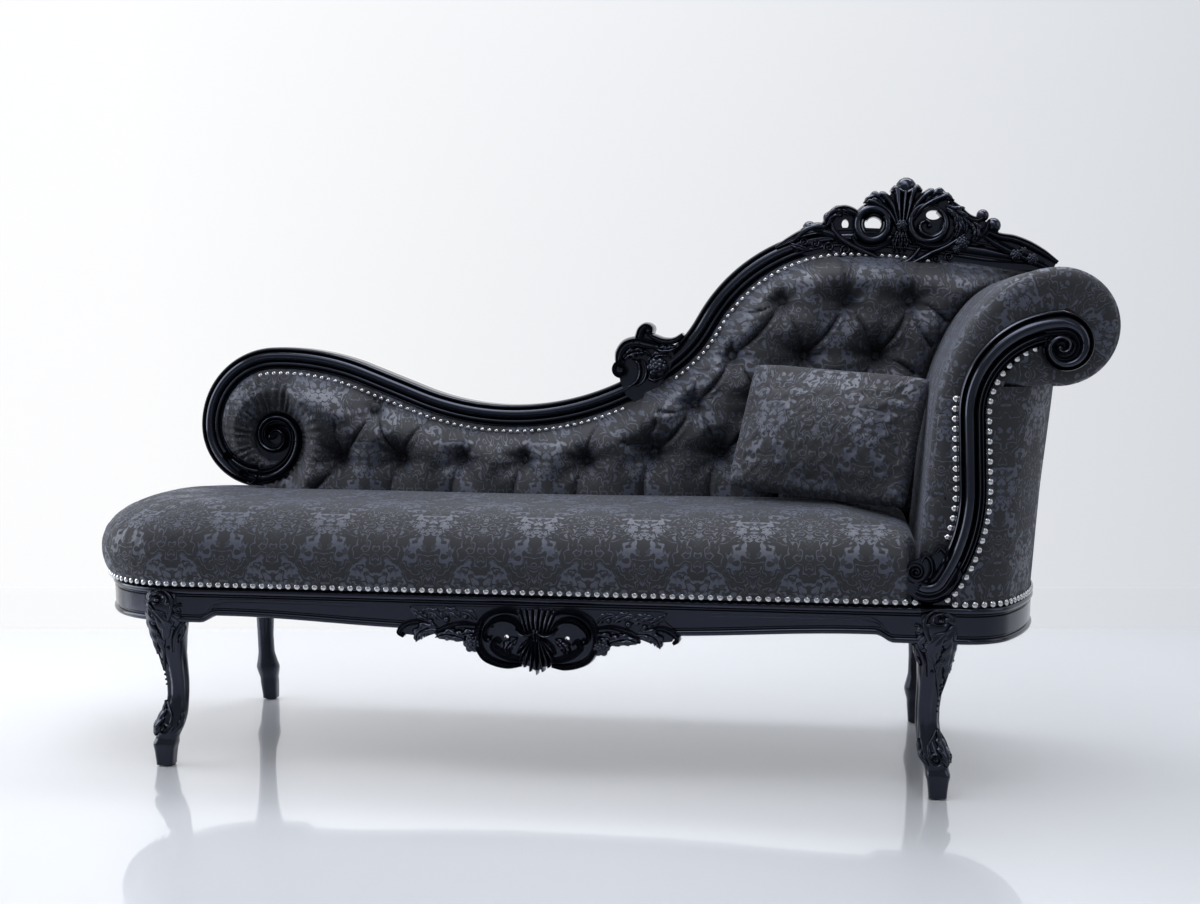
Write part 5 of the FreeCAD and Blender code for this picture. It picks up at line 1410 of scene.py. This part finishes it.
def back_relief(spots, edges):
    """Depth of the buttoned back's face: pads swell between pits and pleats."""
    wood, head, scroll = edges
    rim = np.minimum(wood, scroll)
    # Flat under the nails, then rounding up to the full depth of the pad
    reach = np.clip(1 - (rim - 5) / 58, 0, 1)
    face = 134 + 75 * np.where(rim > 5, reach ** 2.1, 1.0)
    face = np.where(rim < 0, 209 - 1.7 * rim, face)
    reach = np.clip(1 - head / 22, 0, 1)
    face = face + 16 * (1 - np.sqrt(1 - reach ** 2))
    # The crescent round the foot's scroll stands only a little proud
    shallow = np.clip((-596 - spots[:, 0]) / 50, 0, 1) * np.clip((rim + 2) / 12, 0, 1)
    face = face + 0.74 * shallow * (203 - face)
    nearest_pit = np.full(len(spots), 1e9)
    pits = np.zeros(len(spots))
    for point in buttons():
        arm = spots - point
        gap = np.linalg.norm(arm, axis=1)
        nearest_pit = np.minimum(nearest_pit, gap)
        ripple = 1 + 0.10 * np.cos(7 * np.arctan2(arm[:, 1], arm[:, 0]) + point[0])
        pits = np.maximum(pits, 56 * np.exp(-gap / (24 * ripple)))
    folds = np.zeros(len(spots))
    for pleat in pleats():
        folds = np.maximum(folds, fold(spots, *pleat))
    swell_out = 17 * (1 - np.exp(-nearest_pit / 34)) - 9
    fullness = np.clip(rim / 60, 0, 1) * np.clip(head / 30, 0.2, 1) * (1 - shallow)
    # Gathers that radiate from the scroll at the foot, and small ones under the nails
    arm = spots - SCROLL_HUB
    far = np.linalg.norm(arm, axis=1)
    turn = np.arctan2(arm[:, 1], arm[:, 0])
    window = np.exp(-((far - 84) / 34) ** 4)
    gathers = window * (4.2 * np.abs(np.sin(17 * turn + 0.02 * far)) + 1.4 * np.sin(45 * turn))
    gathers += 1.0 * np.sin(spots[:, 0] / 3.4) * np.exp(-((rim - 12) / 8) ** 2) * (wood < 30)
    press_in = np.maximum(pits, folds) + 0.4 * np.minimum(pits, folds)
    face = face + press_in * (0.25 + 0.75 * np.clip(rim / 45, 0, 1)) - swell_out * fullness
    return np.minimum(face + gathers, np.where(rim < 0, 209 - 1.7 * rim, 212))


def make_back_pad():
    step = 2.8
    cache = {}

    def inside(spots):
        wood, head, scroll = back_edges(spots)
        return (wood > -13) & (head > -14) & (scroll > -12)

    def front(places):
        cache["edges"] = back_edges(places)
        return back_relief(places, cache["edges"])

    def rear(places):
        wood, head, scroll = cache["edges"]
        return np.full(len(places), 217.5) + 22 * (np.minimum(wood, scroll) < 0)
    slab = sheet_between(step, (-800, 846, 436, 936), inside, front, rear)
    pad = upholstered("back_pad_buttoned", [slab], "back_pad", sharp=70)
    spots = coordinates(pad)
    drape_uv(pad, spots[:, 0] + 0.35 * (spots[:, 1] - 0.134), spots[:, 2])


class CHAISE_OT_back_pad(bpy.types.Operator):
    """Deep-buttoned back in damask, folded between its buttons and tacked to the show-wood"""
    bl_idname = "chaise.back_pad"
    bl_label = "Buttoned back"

    def execute(self, context):
        make_back_pad()
        return {"FINISHED"}


def swell(thing, pressure, frames, cap, pinned=None, stiffness=8.0):
    """Fill a closed pad: cloth under pressure, held where pinned, moved no further than cap."""
    scene = bpy.context.scene
    start = coordinates(thing)
    group = thing.vertex_groups.new(name="held")
    if pinned is not None:
        group.add(np.nonzero(pinned)[0].tolist(), 1.0, "REPLACE")
    cloth = thing.modifiers.new("filling", "CLOTH")
    cloth.settings.quality = 5
    cloth.settings.mass = 0.4
    cloth.settings.use_pressure = True
    cloth.settings.uniform_pressure_force = pressure
    cloth.settings.tension_stiffness = stiffness
    cloth.settings.compression_stiffness = stiffness
    cloth.settings.shear_stiffness = stiffness / 2
    cloth.settings.bending_stiffness = 0.6
    cloth.settings.effector_weights.gravity = 0
    cloth.collision_settings.use_collision = False
    if pinned is not None:
        cloth.settings.vertex_group_mass = "held"
    cloth.point_cache.frame_start = 1
    cloth.point_cache.frame_end = frames
    for frame_number in range(1, frames + 1):
        scene.frame_set(frame_number)
    end = coordinates(thing.evaluated_get(bpy.context.evaluated_depsgraph_get()))
    thing.modifiers.remove(cloth)
    thing.vertex_groups.clear()
    scene.frame_set(1)
    shift = end - start
    far = np.linalg.norm(shift, axis=1, keepdims=True)
    shift *= np.minimum(1, cap / np.maximum(far, 1e-9))
    thing.data.vertices.foreach_set("co", (start + shift).ravel())
    thing.data.update()


def cad_copy(node, name, voxel):
    """A fine, even remesh of a CAD node's solid."""
    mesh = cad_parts[node].data.copy()
    with opened(mesh) as work:
        bmesh.ops.remove_doubles(work, verts=work.verts, dist=1e-5)
    thing = linked(name + "_start", mesh)
    remesh = thing.modifiers.new("even", "REMESH")
    remesh.mode = "VOXEL"
    remesh.voxel_size = voxel
    soften = thing.modifiers.new("soften", "SMOOTH")
    soften.factor = 0.5
    soften.iterations = 6
    fine = baked(thing)
    bpy.data.objects.remove(thing)
    fine.name = name
    fine.materials.clear()
    return linked(name, fine)


def finish_pad(thing, body, node):
    """Give a filled pad its cloth and shading, let it ride with its body and hide the node it
    replaces.
    """
    smooth = thing.modifiers.new("fine", "SUBSURF")
    smooth.levels = smooth.render_levels = 1
    mesh = baked(thing)
    thing.modifiers.clear()
    thing.data = mesh
    mark_sharp(thing.data, 75)
    thing.data.materials.clear()
    thing.data.materials.append(finish("damask"))
    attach(thing, body)
    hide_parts(node)


def make_seat_pad():
    seat = cad_copy("seat_pad", "seat_pad_filled", 0.007)
    spots = coordinates(seat) / MM
    sag = 4 * np.exp(-((spots[:, 0] + 60) / 380) ** 2) * (spots[:, 2] > 440)
    spots[:, 2] -= sag
    held = (spots[:, 2] < 345) | ((spots[:, 1] > 108) & (spots[:, 0] > -680)) \
        | (spots[:, 0] > 575)
    # Small pulls above the nails, where the cover is drawn down
    pull = 1.2 * np.sin(2 * np.pi * spots[:, 0] / 41) * np.exp(-(spots[:, 2] - 330) / 16)
    spots[:, 1] += np.where(spots[:, 1] < -240, pull, 0)
    seat.data.vertices.foreach_set("co", (spots * MM).ravel())
    swell(seat, 3.0, 12, 0.008, held)
    finish_pad(seat, COUCH, "seat_pad")
    plan = plan_track(640)
    half = plan[2][-1] / 2
    places = coordinates(seat) / MM
    front_part = int(len(plan[0]) * 0.56)
    side, run = nearest([row[:front_part] for row in plan], places[:, :2])
    inset = np.maximum(0, -side)
    up = inset - (SEAT_CROWN - places[:, 2]) * np.clip(1 - inset / 80, 0, 1)
    drape_uv(seat, (half - run) * MM, up * MM)


class CHAISE_OT_seat_pad(bpy.types.Operator):
    """Sprung seat in damask: full front edge, tacked down over the rail all round"""
    bl_idname = "chaise.seat_pad"
    bl_label = "Seat"

    def execute(self, context):
        make_seat_pad()
        return {"FINISHED"}


def make_head_end():
    path = head_track()
    lengths = path[2]
    turns = np.linspace(0, math.pi / 2, 9)
    section = [(0, 217.5)] + [(0, y) for y in np.linspace(200, -226, 30)]
    section += [(-26 * (1 - math.cos(a)), -232 - 26 * math.sin(a)) for a in turns]
    section += [(-s, -258) for s in (30, 36, 42, 50, 62, 78, 96)]
    section += [(-96, -236), (-44, -232), (-44, 217.5)]
    profiles = np.repeat(np.array(section)[None], len(lengths), 0)
    # Views into the profiles: how far aside of the path, and how deep
    side, y = profiles[:, :, 0], profiles[:, :, 1]
    run = lengths[:, None]
    # The face is cut off inside the roll's curl, where there is no room for its depth
    tight = np.interp(run, [0, 590, 630, lengths[-1]], [1, 1, 0.55, 0.55])
    side[:] = np.where(side < -30, -30 + (side + 30) * tight, side)
    # Pulls in the cover: soft waves across the roll and pleats at its front edge
    skin = (side > -1) & (y > -230)
    wave = 2.2 * np.sin(run / 37 + 1.5 * np.sin(y / 90)) * np.exp(-((run - 470) / 150) ** 2)
    dip = 5.0 * np.exp(-((y - 215) / 24) ** 2)
    side[:] = np.where(skin, np.minimum(0, wave - 2.2) - dip, side)
    rim = (side > -27) & (y <= -226)
    gathers = 1.6 * np.sin(run / 3.1) * np.exp(-((run - 470) / 120) ** 2)
    seams = 7.0 * (np.exp(-((run - 134) / 3.2) ** 2) + np.exp(-((run - 271) / 3.2) ** 2))
    side[:] = np.where(rim, side - np.abs(gathers) - seams, side)
    # The cover goes on over the edge of the rear board
    wrap = sweep(path, [(1.4, 212), (1.6, 232), (1.2, 249.6), (-4, 249.6), (-4, 212)])
    pad = upholstered("head_pad_rolled", [sweep(path, profiles), wrap], "head_pad")
    places = coordinates(pad) / MM
    side, run = nearest(path, places[:, [0, 2]])
    deep = places[:, 1]
    around = np.where(deep < -232, -232 + side, deep)
    drape_uv(pad, np.where(deep < -250, -232 - 26 + side, around) * MM, run * MM)
    # Bowed outside panel, flared as it rises
    rings = []
    for share in np.linspace(0, 1, 34):
        shift = np.interp(share, [0, 0.3, 0.52, 1], [-1, 6.5, 13, 31])
        line = end_track(655 + share * 35, HEAD_CURVE_X + shift, HEAD_CORNER, HEAD_TURN,
                         260.5 + 0.8 * math.sin(share * 9), 6.0)
        spots, heads = along(line, np.linspace(0, line[2][-1], 150))
        height = 327 + share * (689.5 - 327)
        outer = np.column_stack([spots, np.full(150, height)])
        inner = np.column_stack([spots + 9 * lefts(heads), np.full(150, height)])
        rings.append(np.concatenate([outer, inner[::-1]]))
    shell = (np.array(rings).reshape(-1, 3), tube_faces(len(rings), len(rings[0])))
    panel = upholstered("outside_head_cover", [shell], "outside_head")
    spots = coordinates(panel) / MM
    _, run = nearest(head_plan_track(640), spots[:, :2])
    drape_uv(panel, run * MM, spots[:, 2] * MM)


class CHAISE_OT_head_end(bpy.types.Operator):
    """Rolled head end: padded inside and roll, panelled front and bowed outside"""
    bl_idname = "chaise.head_end"
    bl_label = "Head end"

    def execute(self, context):
        make_head_end()
        return {"FINISHED"}


def make_outside_back():
    head = head_track()

    def inside(spots):
        wood = back_edges(spots)[0]
        side, run = nearest(head, spots)
        x, z = spots[:, 0], spots[:, 1]
        shell = (side < 2) & (side > -92) & (x > 590) & (z > 372)
        body = (x > 598) & (x < 655 + 35 * (z - 327) / 362 + 30) & (z < 735)
        core = (x > 640) & (x < 875) & (z > 690) & (side < 2)
        left = (x < 700) & (side > -30)
        return (left | shell | body | core) & (z >= 327) & (wood > -6) \
            & ~((x < -686) & (z < 470))

    def front(places):
        return np.full(len(places), 250.3)

    def rear(places):
        x, z = places[:, 0], places[:, 1]
        wave = 0.9 * np.sin(x / 63 + 2 * np.sin(z / 140)) + 0.5 * np.sin(z / 47 + x / 210)
        return 255.2 + wave
    step = 6.0
    slab = sheet_between(step, (-800, 924, 327, 936), inside, front, rear)
    cover = upholstered("outside_back_cover", [slab], "outside_back")
    spots = coordinates(cover)
    drape_uv(cover, spots[:, 0], spots[:, 2])


class CHAISE_OT_outside_back(bpy.types.Operator):
    """Cover stretched over the outside of the back"""
    bl_idname = "chaise.outside_back"
    bl_label = "Outside back"

    def execute(self, context):
        make_outside_back()
        return {"FINISHED"}


def make_cushion():
    across, up = ((72, 52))
    u, v = np.meshgrid(np.linspace(-1, 1, across), np.linspace(-1, 1, up))
    x = 178 * u * (1 - 0.06 * (1 - v ** 2))
    z = 132 * v * (1 - 0.10 * (1 - np.abs(u) ** 2.2))
    # Corners drawn in a little and rounded
    square = np.abs(u * v) ** 5
    x, z = x * (1 - 0.05 * square), z * (1 - 0.08 * square)
    dome = np.clip((1 - np.abs(u) ** 2.3) * (1 - v ** 2), 0, 1) ** 0.5
    rim = (np.abs(u) > 0.999) | (np.abs(v) > 0.999)
    # Puckers drawn in by the seam
    edge = np.minimum((1 - np.abs(u)) * 180, (1 - np.abs(v)) * 128)
    pucker = 2.6 * np.sin(u * 46 + 2 * v) * np.sin(v * 33 + u) * np.exp(-edge / 22) * ~rim
    verts = np.stack([np.stack([x, deep + pucker, z], -1)
                      for deep in (-70 * dome, 70 * dome)]).reshape(-1, 3)
    faces = grid_faces(up, across)
    shift = up * across
    faces += [tuple(i + shift for i in face[::-1]) for face in faces]
    name = "lumbar_cushion_filled"
    thing = linked(name, welded(name, verts * MM, faces))
    swell(thing, settings().fabric.swell, 12, 0.014, stiffness=14.0)
    flat = coordinates(thing) / MM
    low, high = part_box("lumbar_cushion")
    centre = (np.array(low) + np.array(high)) / 2 / MM
    # Turned to face the room, leant back and rolled a little
    turns = [np.array(Matrix.Rotation(math.radians(angle), 3, axis)) for angle, axis in
             ((-19, "Z"), (-23, "X"), (4, "Y"))]
    spots = flat @ (turns[0] @ turns[1] @ turns[2]).T
    spots -= (spots.max(0) + spots.min(0)) / 2
    span = spots.max(0) - spots.min(0)
    spots *= min(1.0, *((np.array(high) - np.array(low)) / MM / span + 0.03))
    spots += centre + (-4, 0, 5)
    thing.data.vertices.foreach_set("co", (spots * MM).ravel())
    drape_uv(thing, flat[:, 0] * MM, flat[:, 2] * MM)
    finish_pad(thing, "cushion", "lumbar_cushion")


class CHAISE_OT_cushion(bpy.types.Operator):
    """Loose lumbar cushion: two panels sewn at a knife edge, filled under pressure"""
    bl_idname = "chaise.cushion"
    bl_label = "Lumbar cushion"

    def execute(self, context):
        make_cushion()
        return {"FINISHED"}


# Repeated fittings, made with geometry nodes

def group_tree(name, sizes):
    """An empty geometry tree with named inputs for its sizes."""
    tree = bpy.data.node_groups.new(name, "GeometryNodeTree")
    tree.interface.new_socket("Geometry", in_out="INPUT", socket_type="NodeSocketGeometry")
    tree.interface.new_socket("Geometry", in_out="OUTPUT", socket_type="NodeSocketGeometry")
    for label, value in sizes.items():
        socket = tree.interface.new_socket(label, in_out="INPUT", socket_type="NodeSocketFloat")
        socket.default_value = value
    return tree


def run_tree(thing, tree, values):
    """Apply a tree to an object with given inputs, leaving a plain mesh."""
    modifier = thing.modifiers.new("pattern", "NODES")
    modifier.node_group = tree
    for item in tree.interface.items_tree:
        if item.in_out == "INPUT" and item.name in values:
            modifier[item.identifier] = values[item.name]
    mesh = baked(thing)
    thing.modifiers.clear()
    thing.data = mesh
    for polygon in mesh.polygons:
        polygon.use_smooth = True
    return thing


def dome_tree(name, material, along_lines):
    """Domes that stand on points, or at a pitch along lines, and face where 'out' says."""
    tree = group_tree(name, {"Radius": 0.005, "Rise": 0.6, "Pitch": 0.0137})
    start = add(tree, "NodeGroupInput")
    source = start.outputs["Geometry"]
    if along_lines:
        curve = add(tree, "GeometryNodeMeshToCurve", {0: source})
        spaced = add(tree, "GeometryNodeCurveToPoints", {"Curve": curve.outputs[0],
                                                         "Length": start.outputs["Pitch"]},
                     mode="LENGTH")
        source = spaced.outputs["Points"]
    out = add(tree, "GeometryNodeInputNamedAttribute", {"Name": "out"},
              data_type="FLOAT_VECTOR")
    aim = add(tree, "FunctionNodeAlignRotationToVector", {"Vector": out.outputs[0]}, axis="Z")
    dome = add(tree, "GeometryNodeMeshUVSphere", {"Segments": 12, "Rings": 8,
                                                  "Radius": start.outputs["Radius"]})
    flat = add(tree, "ShaderNodeCombineXYZ", {0: 1.0, 1: 1.0, 2: start.outputs["Rise"]})
    placed = add(tree, "GeometryNodeInstanceOnPoints", {
        "Points": source, "Instance": dome.outputs["Mesh"], "Rotation": aim.outputs[0],
        "Scale": flat.outputs[0]})
    real = add(tree, "GeometryNodeRealizeInstances", {0: placed.outputs[0]})
    clad = add(tree, "GeometryNodeSetMaterial", {"Geometry": real.outputs[0],
                                                 "Material": finish(material)})
    add(tree, "NodeGroupOutput", {"Geometry": clad.outputs[0]})
    return tree


def marked_lines(name, lines):
    """A mesh of open lines of (places, outward directions), in millimetres."""
    verts, edges, outs = [], [], []
    for places, directions in lines:
        start = len(verts)
        verts += [tuple(p * MM) for p in places]
        outs += [tuple(d) for d in directions]
        edges += [(start + i, start + i + 1) for i in range(len(places) - 1)]
    mesh = bpy.data.meshes.new(name)
    mesh.from_pydata(verts, edges, [])
    layer = mesh.attributes.new("out", "FLOAT_VECTOR", "POINT")
    layer.data.foreach_set("vector", np.array(outs, float).ravel())
    return linked(name, mesh)


def spaced(path, aside, first, last):
    """Close places along a track, moved to its left, and the directions to the left."""
    lengths = np.linspace(first, last, max(2, int((last - first) / 4)))
    spots, heads = along(path, lengths)
    return spots + aside * lefts(heads), lefts(heads)


def nail_line(path, aside, deep, first, last, tilt):
    """A line of nails in the front view, at a depth and facing forwards."""
    spots, left = spaced(path, aside, first, last)
    lean = tilt * left
    places = to_front(spots[:, 0], spots[:, 1], np.full(len(spots), float(deep)))
    return places, np.stack([lean[:, 0], np.full(len(spots), -1.0), lean[:, 1]], -1)


def plan_nails(path, height, out, first, last, side):
    """A line of nails round the seat at a height, facing outwards."""
    spots, left = spaced(path, side * out, first, last)
    places = to_plan(spots[:, 0], spots[:, 1], np.full(len(spots), float(height)))
    return places, np.column_stack([side * left, np.full(len(spots), 0.12)])


def make_nails():
    nails = settings().nails
    seat = plan_track(598)
    lines = [plan_nails(seat, 335.0, 9.0, 2, seat[2][-1] - 2, 1.0)]
    head = head_plan_track(661)
    lines.append(plan_nails(head, 331.5, 1.0, 0, head[2][-1], -1.0))
    facing = facing_track()
    lines.append(nail_line(facing, -27.5, -261.0, 34, 500, -0.2))
    lines.append(nail_line(facing, 26.5, -258.6, 118, 352, 0.2))
    large = run_tree(marked_lines("nails_large", lines),
                     dome_tree("nail_rows", "nickel", True),
                     {"Radius": nails.diameter / 2, "Rise": 0.58, "Pitch": nails.pitch})
    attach(large, COUCH)
    low, high = low_track(), high_track()
    small = [nail_line(low, 28.5, 207.0, 30, 800, 0.2),
             nail_line(high, -28.0, 207.0, 40, 640, -0.2)]
    fine = run_tree(marked_lines("nails_small", small),
                    dome_tree("small_nail_rows", "nickel", True),
                    {"Radius": nails.diameter * 0.41, "Rise": 0.6,
                     "Pitch": nails.pitch * 0.9})
    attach(fine, COUCH)


class CHAISE_OT_nails(bpy.types.Operator):
    """Close rows of nickel nailheads round the seat, the facing and the show-wood"""
    bl_idname = "chaise.nails"
    bl_label = "Nailheads"

    def execute(self, context):
        make_nails()
        return {"FINISHED"}


def make_buttons():
    points = np.array(buttons())
    places = to_front(points[:, 0], points[:, 1], np.full(len(points), 188.0))
    outs = np.tile([0.0, -1.0, 0.12], (len(points), 1))
    thing = marked_lines("covered_buttons", [(places[i:i + 1], outs[i:i + 1])
                                             for i in range(len(points))])
    run_tree(thing, dome_tree("button_caps", "damask", False), {"Radius": 0.0100,
                                                                "Rise": 0.45})
    spots = coordinates(thing)
    drape_uv(thing, spots[:, 0], spots[:, 2])
    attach(thing, COUCH)
    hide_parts("back_buttons")


class CHAISE_OT_buttons(bpy.types.Operator):
    """Cloth-covered buttons that hold the back's pits"""
    bl_idname = "chaise.buttons"
    bl_label = "Buttons"

    def execute(self, context):
        make_buttons()
        return {"FINISHED"}


def make_hidden_parts():
    finishes = {"beech": ["back_beam", "back_posts", "corner_blocks", "head_board",
                          "head_front_board", "head_rear_board", "head_roller",
                          "seat_braces"],
                "jute": ["seat_webbing", "seat_deck", "back_lining"],
                "cambric": ["dust_cover"], "nylon": ["foot_glides"]}
    for key, names in finishes.items():
        for name in names:
            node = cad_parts[name]
            node.data.materials.clear()
            node.data.materials.append(finish(key))


class CHAISE_OT_hidden_parts(bpy.types.Operator):
    """Real finishes for the frame, webbing and glides that stay as the wooden model has them"""
    bl_idname = "chaise.hidden_parts"
    bl_label = "Frame finishes"

    def execute(self, context):
        make_hidden_parts()
        return {"FINISHED"}


# Studio

def facing_only(name, colour, rough, glow):
    """Painted wall that is seen from its front side alone, so that it never hides the chaise."""
    material, tree, shader = new_material(name)
    place = own_space(tree)
    wire(tree, shader, {"Base Color": tint(colour), "Roughness": rough, "Normal": bump(
        tree, 0.04, 0.0005, noise(tree, place, 160.0, 3.0).outputs[0])})
    path = add(tree, "ShaderNodeLightPath").outputs
    seen = maths(tree, "MAXIMUM", path["Is Camera Ray"], path["Is Glossy Ray"])
    # Painted light: the wall's glow, seen by the camera and in reflections, fades from white at
    # the left to pale grey at the right, standing in for soft light from the left, as the room
    # behind the camera gives
    cut = add(tree, "ShaderNodeSeparateXYZ", {0: place})
    painted_falloff = ramp(tree, cut.outputs[0], -1.3, 1.5, 1.0, 0.0)
    own = add(tree, "ShaderNodeEmission", {"Color": blend(tree, painted_falloff, "#D8DBE0", "#FFFFFF"),
                                           "Strength": 1.0})
    front = add(tree, "ShaderNodeMixShader", {0: maths(tree, "MULTIPLY", seen, glow),
                                              1: shader.outputs[0], 2: own.outputs[0]})
    clear = add(tree, "ShaderNodeBsdfTransparent")
    side = add(tree, "ShaderNodeNewGeometry")
    both = add(tree, "ShaderNodeMixShader", {0: side.outputs["Backfacing"],
                                             1: front.outputs[0], 2: clear.outputs[0]})
    output = next(n for n in tree.nodes if n.type == "OUTPUT_MATERIAL")
    wire(tree, output, {"Surface": both.outputs[0]})
    return material


def polished_floor():
    """Epoxy-coated floor: pale, level, with a clear mirror-like coat."""
    material, tree, shader = new_material("polished_epoxy_floor")
    place = own_space(tree)
    cloud = noise(tree, place, 0.7).outputs[0]
    ripple = noise(tree, place, 4.0, 1.0).outputs[0]
    wire(tree, shader, {
        "Base Color": blend(tree, cloud, settings().studio.floor, "#DFE1E4"),
        "Coat Normal": bump(tree, 0.05, 0.0015, ripple), "Roughness": 0.35,
        "Coat Weight": 1.0, "Coat Roughness": 0.035, "Coat IOR": 1.7})
    return material


def flat_sheet(name, middle, aside, up, material):
    """A stage sheet from an edge, given by its middle and half its length, and a way up."""
    mesh = bpy.data.meshes.new(name)
    corners = [middle - aside, middle + aside, middle + aside + up, middle - aside + up]
    mesh.from_pydata(corners, [], [(0, 1, 2, 3)])
    mesh.materials.append(material)
    linked(name, mesh)


def soft_lamp(name, place, target, size, power):
    """A rectangular lamp of soft daylight that looks at its target."""
    data = bpy.data.lights.new(name, "AREA")
    data.shape = "RECTANGLE"
    data.size, data.size_y = size
    data.energy = power
    data.color = tint("#F4F6FC")[:3]
    lamp = linked(name, data)
    lamp.location = place
    lamp.rotation_euler = (Vector(target) - Vector(place)).to_track_quat("-Z", "Y").to_euler()


CAMERA_AT = (0.449, -2.8345, 0.790)
CAMERA_YAW, CAMERA_PITCH = 0.146, 0.082


def make_stage():
    scene = bpy.context.scene
    scene.view_settings.view_transform = "Standard"
    studio = settings().studio
    ahead = Vector((-math.sin(CAMERA_YAW), math.cos(CAMERA_YAW), 0))
    aside = Vector((math.cos(CAMERA_YAW), math.sin(CAMERA_YAW), 0))
    foot = Vector((CAMERA_AT[0], CAMERA_AT[1], 0)) + ahead * 3.98
    flat_sheet("studio_floor", Vector((0, -14, 0)), Vector((14, 0, 0)), Vector((0, 28, 0)),
               polished_floor())
    wall = facing_only("painted_wall", studio.wall, 0.7, 0.9)
    edge = facing_only("painted_skirting", studio.wall, 0.5, 0.86)
    wide, rise, step = aside * 7, Vector((0, 0, 0.108)), ahead * 0.012
    flat_sheet("studio_wall", foot + step, wide, Vector((0, 0, 5)), wall)
    flat_sheet("studio_skirting", foot, wide, rise, edge)
    flat_sheet("studio_skirting_top", foot + rise, wide, step, edge)
    for name, place, target, size, power in (
            ("window_left", (-3.1, -0.2, 1.4), (-0.2, 0.0, 0.5), (2.2, 2.4), 62),
            ("sky_above", (-0.3, -0.15, 3.0), (0.0, 0.05, 0.4), (3.2, 1.1), 58),
            ("sky_rear", (0.5, 0.78, 2.7), (0.2, -0.4, 0.3), (2.6, 0.6), 36),
            ("window_right", (3.3, -0.5, 1.7), (0.4, 0.0, 0.5), (1.4, 2.2), 12),
            ("ceiling_front", (-0.4, -1.5, 2.9), (0.1, 0.0, 0.5), (3.6, 1.0), 24),
            ("strip_right", (1.7, -3.1, 2.4), (0.5, 0.0, 0.5), (0.25, 1.8), 5)):
        soft_lamp(name, place, target, size, power)
    world = bpy.data.worlds.new("studio_air")
    scene.world = world
    world.use_nodes = True
    tree = world.node_tree
    tree.nodes.clear()
    path = add(tree, "ShaderNodeLightPath").outputs
    # Pale where the camera looks past the wall, dim in reflections, soft as room light
    seen = maths(tree, "MAXIMUM", path["Is Camera Ray"], path["Is Transmission Ray"])
    fill = ramp(tree, path["Is Glossy Ray"], 0.0, 1.0, 0.20, 0.36)
    air = add(tree, "ShaderNodeBackground", {
        "Color": tint("#F0F3F8"), "Strength": ramp(tree, seen, 0.0, 1.0, fill, 0.88)})
    add(tree, "ShaderNodeOutputWorld", {"Surface": air.outputs[0]})
    data = bpy.data.cameras.new("studio_camera")
    data.lens = studio.lens
    data.sensor_width = 36
    camera = linked("studio_camera", data)
    camera.location = CAMERA_AT
    camera.rotation_euler = (math.pi / 2 - CAMERA_PITCH, 0, CAMERA_YAW)
    scene.camera = camera


class CHAISE_OT_stage(bpy.types.Operator):
    """Polished pale floor, plain wall with its skirting, soft lamps and the camera"""
    bl_idname = "chaise.stage"
    bl_label = "Stage"

    def execute(self, context):
        make_stage()
        return {"FINISHED"}


# Panel and registration

STEPS = [CHAISE_OT_stage, CHAISE_OT_rails, CHAISE_OT_legs, CHAISE_OT_show_wood, CHAISE_OT_crest,
         CHAISE_OT_apron, CHAISE_OT_junction_leaves, CHAISE_OT_head_facing, CHAISE_OT_back_pad,
         CHAISE_OT_seat_pad, CHAISE_OT_head_end, CHAISE_OT_outside_back, CHAISE_OT_cushion,
         CHAISE_OT_nails, CHAISE_OT_buttons, CHAISE_OT_hidden_parts]


class CHAISE_PT_dressing(bpy.types.Panel):
    """Lists the steps that dress the chaise longue, and the values they use"""
    bl_label = "Chaise longue"
    bl_idname = "CHAISE_PT_dressing"
    bl_space_type = "VIEW_3D"
    bl_region_type = "UI"
    bl_category = "Chaise"

    def draw(self, context):
        chaise = context.scene.chaise
        for part in (chaise.fabric, chaise.wood, chaise.nails, chaise.studio):
            box = self.layout.box()
            for name in type(part).__annotations__:
                box.prop(part, name)
        for step in STEPS:
            self.layout.operator(step.bl_idname)


CLASSES = [ChaiseFabric, ChaiseWood, ChaiseNails, ChaiseStudio, ChaiseSettings,
           CHAISE_PT_dressing] + STEPS


def register():
    for kind in CLASSES:
        bpy.utils.register_class(kind)
    bpy.types.Scene.chaise = bpy.props.PointerProperty(type=ChaiseSettings)


def unregister():
    del bpy.types.Scene.chaise
    for kind in reversed(CLASSES):
        bpy.utils.unregister_class(kind)


def main():
    register()
    for step in STEPS:
        group, name = step.bl_idname.split(".")
        getattr(getattr(bpy.ops, group), name)()
    bpy.context.view_layer.update()


if __name__ == "__main__":
    main()
